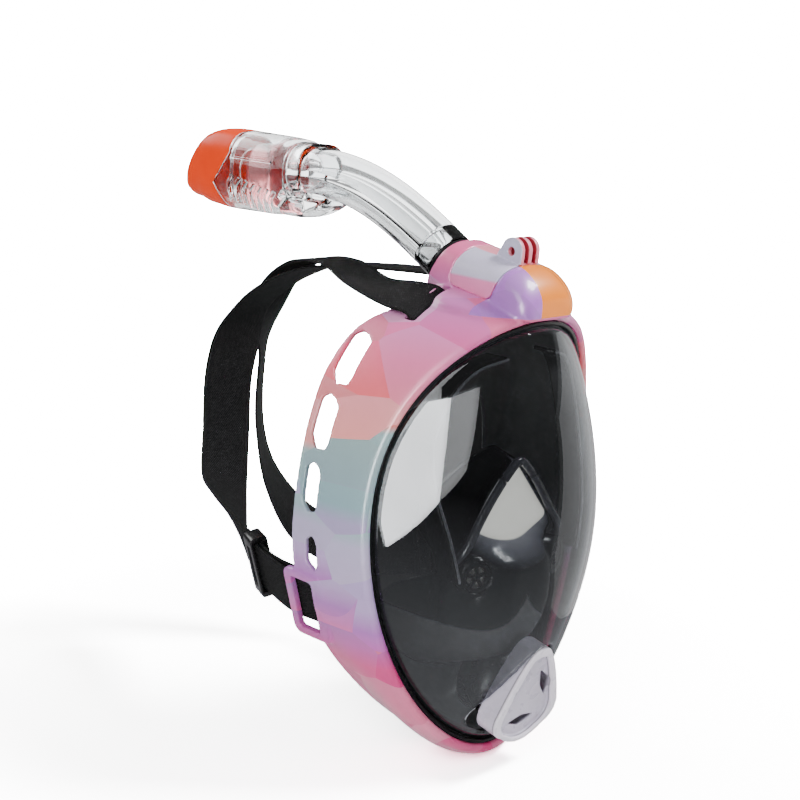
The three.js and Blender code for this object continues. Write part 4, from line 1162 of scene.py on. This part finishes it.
def webbing():
    """Woven elastic: ribs across the strap and fine threads along it."""
    n = Nodes("webbing")
    x, y, _ = n.split(n.add("ShaderNodeAttribute", attribute_name="weave").outputs["Vector"])
    waves = [n.math("SINE", n.math("MULTIPLY", v, rate)) for v, rate in ((x, THREAD_RATE), (y, RIB_RATE))]
    cross = n.both(*waves)
    colour = n.ramp(n.spread(cross, 0, 1), THREAD_STOPS)
    n.surface(colour, n.spread(n.noise(200), 0.75, 0.9), n.bump(cross, 0.5, 0.00025),
              Specular_IOR_Level=0.18)


def clear_plastic(name, colour=(0.95, 0.97, 0.98), rough=0.03):
    n = Nodes(name)
    tint = n.ramp(n.noise(30), [(0.3, tone(colour, 0.98)), (0.7, colour)])
    shine = n.spread(n.noise(80), rough * 0.6, rough * 1.4)
    n.surface(tint, shine, Transmission_Weight=1.0, IOR=1.4)


printed_shell()
mount_print()
smoked_lens()
plain("black_gasket", (0.003, 0.003, 0.0035), 0.35, Specular_IOR_Level=0.35)
plain("black_silicone", (0.003, 0.003, 0.0035), 0.22)
plain("skirt_silicone", (0.095, 0.096, 0.101), 0.4)
# dark grey: partly the rib's own dark silicone, partly a painted sheen standing in for its highlights
plain("rib_silicone_painted_sheen", (0.1, 0.1, 0.12), 0.08, Coat_Weight=1.0)
# painted highlight: the rolled edges of the black silicone eye chamber walls are coloured grey
plain("wall_edge_painted_highlight", (0.28, 0.28, 0.31), 0.25)
pocket_silicone()
plain("black_plastic", (0.004, 0.004, 0.0045), 0.28, bump=0.1)
plain("screw_steel", (0.55, 0.55, 0.56), 0.25, Metallic=1.0)
plain("flap_silicone", (0.62, 0.6, 0.57), 0.35)
plain("dark_flap", (0.012, 0.012, 0.013), 0.35)
vent_plastic()
clear_plastic("clear_plastic")
plain("orange_plastic", (0.8, 0.045, 0.0), 0.3, vary=0.03, Specular_IOR_Level=0.12)
clear_plastic("red_float", (0.92, 0.3, 0.31), 0.08)
plain("red_rubber", (0.3, 0.02, 0.02), 0.5, bump=0.1)
webbing()

# ------------------------------------------------------------------ the pieces
finish_piece(build_frame(), "frame_shell", "frame", "printed_shell")
finish_piece(build_camera_mount(), "camera_mount_saddle", "camera_mount", "mount_print")
finish_piece(build_lens(), "lens_shell", "lens", "smoked_lens")
finish_piece(build_gasket(), "gasket_ring", "lens_gasket", "black_gasket")
skirt = around_rim("skirt", skirt_section)
finish_piece(skirt, "skirt_seal", "face_skirt", "skirt_silicone")
finish_piece(build_pocket(), "pocket_shell", "orinasal_pocket", "pocket_silicone")
finish_piece(build_nose_rib(), "pocket_rib", "orinasal_pocket", "rib_silicone_painted_sheen")
for side, label in ((1, "left"), (-1, "right")):
    valve = intake_place(side)
    seated = (lambda p, put=valve: put((p[0], p[1], p[2] - 1.2)))
    closed = (lambda p, put=valve: put((p[0], p[1], p[2] - 1.6)))
    seat, flap = build_seat(VALVE_SEAT, 2.4, 5, seated), build_flap(VALVE_FLAP, closed)
    finish_piece(seat, f"intake_seat_{label}", f"intake_valve_seat_{label}", "black_plastic")
    finish_piece(flap, f"intake_flap_{label}_disc", f"intake_valve_flap_{label}", "flap_silicone")
    wall = f"eye_chamber_wall_{label}"
    finish_piece(build_eye_wall(side), f"eye_wall_{label}", wall, "black_silicone")
    # the wall's rolled edge wears the grey painted highlight
    finish_piece(build_wall_bead(side), f"eye_wall_{label}_edge", wall, "wall_edge_painted_highlight")
finish_piece(build_vent_cover(), "vent_cover", "chin_vent_cover", "vent_plastic")
finish_piece(build_chin_seat(), "chin_seat", "chin_valve_seat", "black_plastic")
chin_disc = build_flap(CHIN_FLAP, at_chin(CHIN_Y - 0.35))
finish_piece(chin_disc, "chin_flap_disc", "chin_valve_flap", "dark_flap")
finish_piece(build_tube(), "tube", "snorkel_tube", "clear_plastic")
finish_piece(build_plug(), "plug", "snorkel_plug", "clear_plastic")
finish_piece(build_ring(0.9, 4.3, 27.8, 32.6), "plug_ring", "plug_oring", "black_gasket")
finish_piece(build_ring(-11.6, -8.8, 29.2, 32), "socket_ring", "socket_seal", "black_gasket")
finish_piece(build_dry_top(), "dry_top_box", "dry_top_housing", "clear_plastic")
finish_piece(build_cap(), "dry_top_cover", "dry_top_cap", "orange_plastic")
seat = combine(oval_loft("seat", [(157, 178, 0, 37.2, 42.8), (160.5, 178, 0, 37.2, 42.8)], 3, 96),
               oval_loft("bore", [(150, 178, 0, 24, 28), (170, 178, 0, 24, 28)], 2.4, 96))
finish_piece(soften(seat, 0.4), "inlet_ring", "inlet_seat", "clear_plastic")
finish_piece(build_float(), "float_block", "float", "red_float")
pad = oval_loft("pad", [(147.4, 178, 0, 30, 34), (149, 178, 0, 30, 34)], 2.6, 96)
finish_piece(soften(pad, 0.4), "float_pad", "float_seal", "red_rubber")
for side, label, outer in ((1, "left", True), (-1, "right", False)):
    stations, slider_at = strap_stations(-side, outer)
    strap, slider = build_strap(stations), build_slider(*slider_at)
    finish_piece(strap, f"webbing_{label}", f"strap_to_{label}_jaw", "webbing")
    finish_piece(slider, f"slider_{label}_buckle", f"strap_slider_{label}", "black_plastic")
kept_nodes = {"skirt_retainer": "black_plastic"}
kept_nodes.update({f"retainer_screw_{i}": "screw_steel" for i in (1, 2, 3, 4)})
for node, name in kept_nodes.items():
    cad = frame["nodes"][node]
    cad.data.materials.clear()
    cad.data.materials.append(M[name])

# ------------------------------------------------------------------ floor, light and camera
FLOOR_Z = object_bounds()[0].z - 0.0005
FLOOR_THICKNESS, FLOOR_RADIUS = 5, 30000
ROOM_LIGHT, MIRRORED_ROOM, SEEN_THROUGH, BACKDROP, BEHIND_LENS = 0.65, 1.0, 5.0, 45.0, 0.05


def grey(value):
    return (value, value, value)


def build_floor():
    """A floor that is matte to light, bright to the camera and dark behind the lens."""
    top = FLOOR_Z / MM
    outline = circle(FLOOR_RADIUS, 96)
    floor = loft("floor", [[(a, b, top - h) for a, b in outline] for h in (0, FLOOR_THICKNESS)])
    n = Nodes("floor")
    path = n.add("ShaderNodeLightPath").outputs
    away = n.add("ShaderNodeVectorMath", {0: n.place}, operation="LENGTH").outputs["Value"]
    matte = n.ramp(n.noise(3), [(0.3, grey(0.8)), (0.7, grey(0.82))])
    bright = n.ramp(n.between(away, 0.25, 1.4), [(0, grey(7.5)), (1, grey(60))])
    behind_lens = n.both(path["Is Camera Ray"], n.above(path["Transparent Depth"], 1, 0.5))
    looks = [n.add("ShaderNodeBsdfDiffuse", {"Color": c}).outputs["BSDF"]
             for c in (matte, bright, (*grey(0.01), 1))]
    shader = n.choose(path["Is Camera Ray"], looks[0], looks[1])
    n.show(n.choose(behind_lens, shader, looks[2]))
    floor.data.materials.append(n.owner)
    floor.visible_glossy = False


def build_world():
    """An even white room, with its own strength for each kind of ray."""
    n = Nodes("studio", world=True)
    bpy.context.scene.world = n.owner
    path = n.add("ShaderNodeLightPath").outputs
    behind_lens = n.add("ShaderNodeMath", {
        0: path["Is Camera Ray"], 1: path["Transparent Depth"],
    }, operation="MULTIPLY", use_clamp=True).outputs["Value"]
    # what reflections see of the room: a grey floor and a dark ceiling
    _, _, up = n.split(n.add("ShaderNodeTexCoord").outputs["Generated"])
    mirrored = n.ramp(n.between(up, -0.9, 1.0, "LINEAR"), [
        (0.05, (0.9, 0.91, 0.95)), (0.45, (0.06, 0.06, 0.065)), (0.9, grey(0.3)),
    ])
    shader = n.add("ShaderNodeBackground", {"Strength": ROOM_LIGHT}).outputs["Background"]
    for test, inputs in (
        (path["Is Glossy Ray"], {"Strength": MIRRORED_ROOM, "Color": mirrored}),
        (path["Is Transmission Ray"], {"Strength": SEEN_THROUGH}),
        (path["Is Camera Ray"], {"Strength": BACKDROP}),
        (behind_lens, {"Strength": BEHIND_LENS}),
    ):
        light = n.add("ShaderNodeBackground", inputs)
        shader = n.choose(test, shader, light.outputs["Background"])
    n.show(shader)


LAMP_TARGET = Vector((0, 0, 0.02))


def area_light(name, place, size, power):
    light = bpy.data.lights.new(name, "AREA")
    light.shape, light.size, light.size_y, light.energy = "RECTANGLE", size[0], size[1], power
    lamp = bpy.data.objects.new(name, light)
    bpy.context.scene.collection.objects.link(lamp)
    lamp.location = place
    lamp.rotation_euler = (LAMP_TARGET - Vector(place)).to_track_quat("-Z", "Y").to_euler()
    lamp.visible_camera = False


def towards(azimuth, elevation):
    """The direction from the mask, its azimuth from straight ahead towards its left, in radians."""
    flat = math.cos(elevation)
    return Vector((math.sin(azimuth) * flat, -math.cos(azimuth) * flat, math.sin(elevation)))


SOFTBOX_DISTANCE = 1.7


def softbox(name, corners, low, high):
    """A glowing panel that only reflections show."""
    points = [towards(math.radians(a), math.radians(e)) * SOFTBOX_DISTANCE / MM for a, e in corners]
    panel = mesh_object(name, points, [tuple(range(len(points)))])
    n = Nodes(name)
    glow = n.add("ShaderNodeEmission", {"Strength": n.spread(n.noise(1.2), low, high)})
    n.show(glow.outputs["Emission"])
    panel.data.materials.append(n.owner)
    for kind in ("camera", "diffuse", "transmission", "shadow"):
        setattr(panel, f"visible_{kind}", False)


AZIMUTH, ELEVATION, ROLL, DISTANCE = math.radians(-47.8), math.radians(16.9), math.radians(3.9), 0.9
SENSOR, FOCAL = 36, 1.935  # the sensor's width, and the focal length as a share of it
AIM_RIGHT, AIM_UP = -0.0144, 0.0692


def build_camera():
    back = towards(AZIMUTH, ELEVATION)
    level = Vector((math.cos(AZIMUTH), math.sin(AZIMUTH), 0))
    upright = back.cross(level)
    right = level * math.cos(ROLL) + upright * math.sin(ROLL)
    up = upright * math.cos(ROLL) - level * math.sin(ROLL)
    ahead = (right * AIM_RIGHT + up * AIM_UP - back).normalized()
    right = ahead.cross(up).normalized()
    up = right.cross(ahead)
    data = bpy.data.cameras.new("camera")
    data.sensor_width, data.lens, data.clip_end = SENSOR, SENSOR * FOCAL, 200
    camera = bpy.data.objects.new("camera", data)
    bpy.context.scene.collection.objects.link(camera)
    turn = Matrix((right, up, -ahead)).transposed().to_4x4()
    camera.matrix_world = Matrix.Translation(back * DISTANCE) @ turn
    bpy.context.scene.camera = camera


MAIN_BOX = [(-71, -23), (-73, -8), (-69, 6), (-58, 19), (-43, 23), (-47, 10), (-49, 3), (-51, -5)]
INNER_BOX = [(-51, -5), (-49, 3), (-47, 10), (-43, 23), (-26, 27), (-32, 15), (-37, 6), (-50, -4)]
SIDE_BOX = [(44, -28), (44, 10), (80, 18), (122, 10), (122, -20), (85, -28)]

build_floor()
build_world()
softbox("main_box", MAIN_BOX, 20, 34)
softbox("inner_box", INNER_BOX, 3.5, 5.5)
softbox("side_box", SIDE_BOX, 0.7, 1.6)
area_light("key", (0.9, -0.7, 1.5), (0.5, 0.5), 50)
area_light("fill", (-1.3, -0.6, 0.9), (1.0, 1.0), 16)
area_light("rim", (-0.3, 1.3, 0.9), (1.0, 0.6), 12)
build_camera()
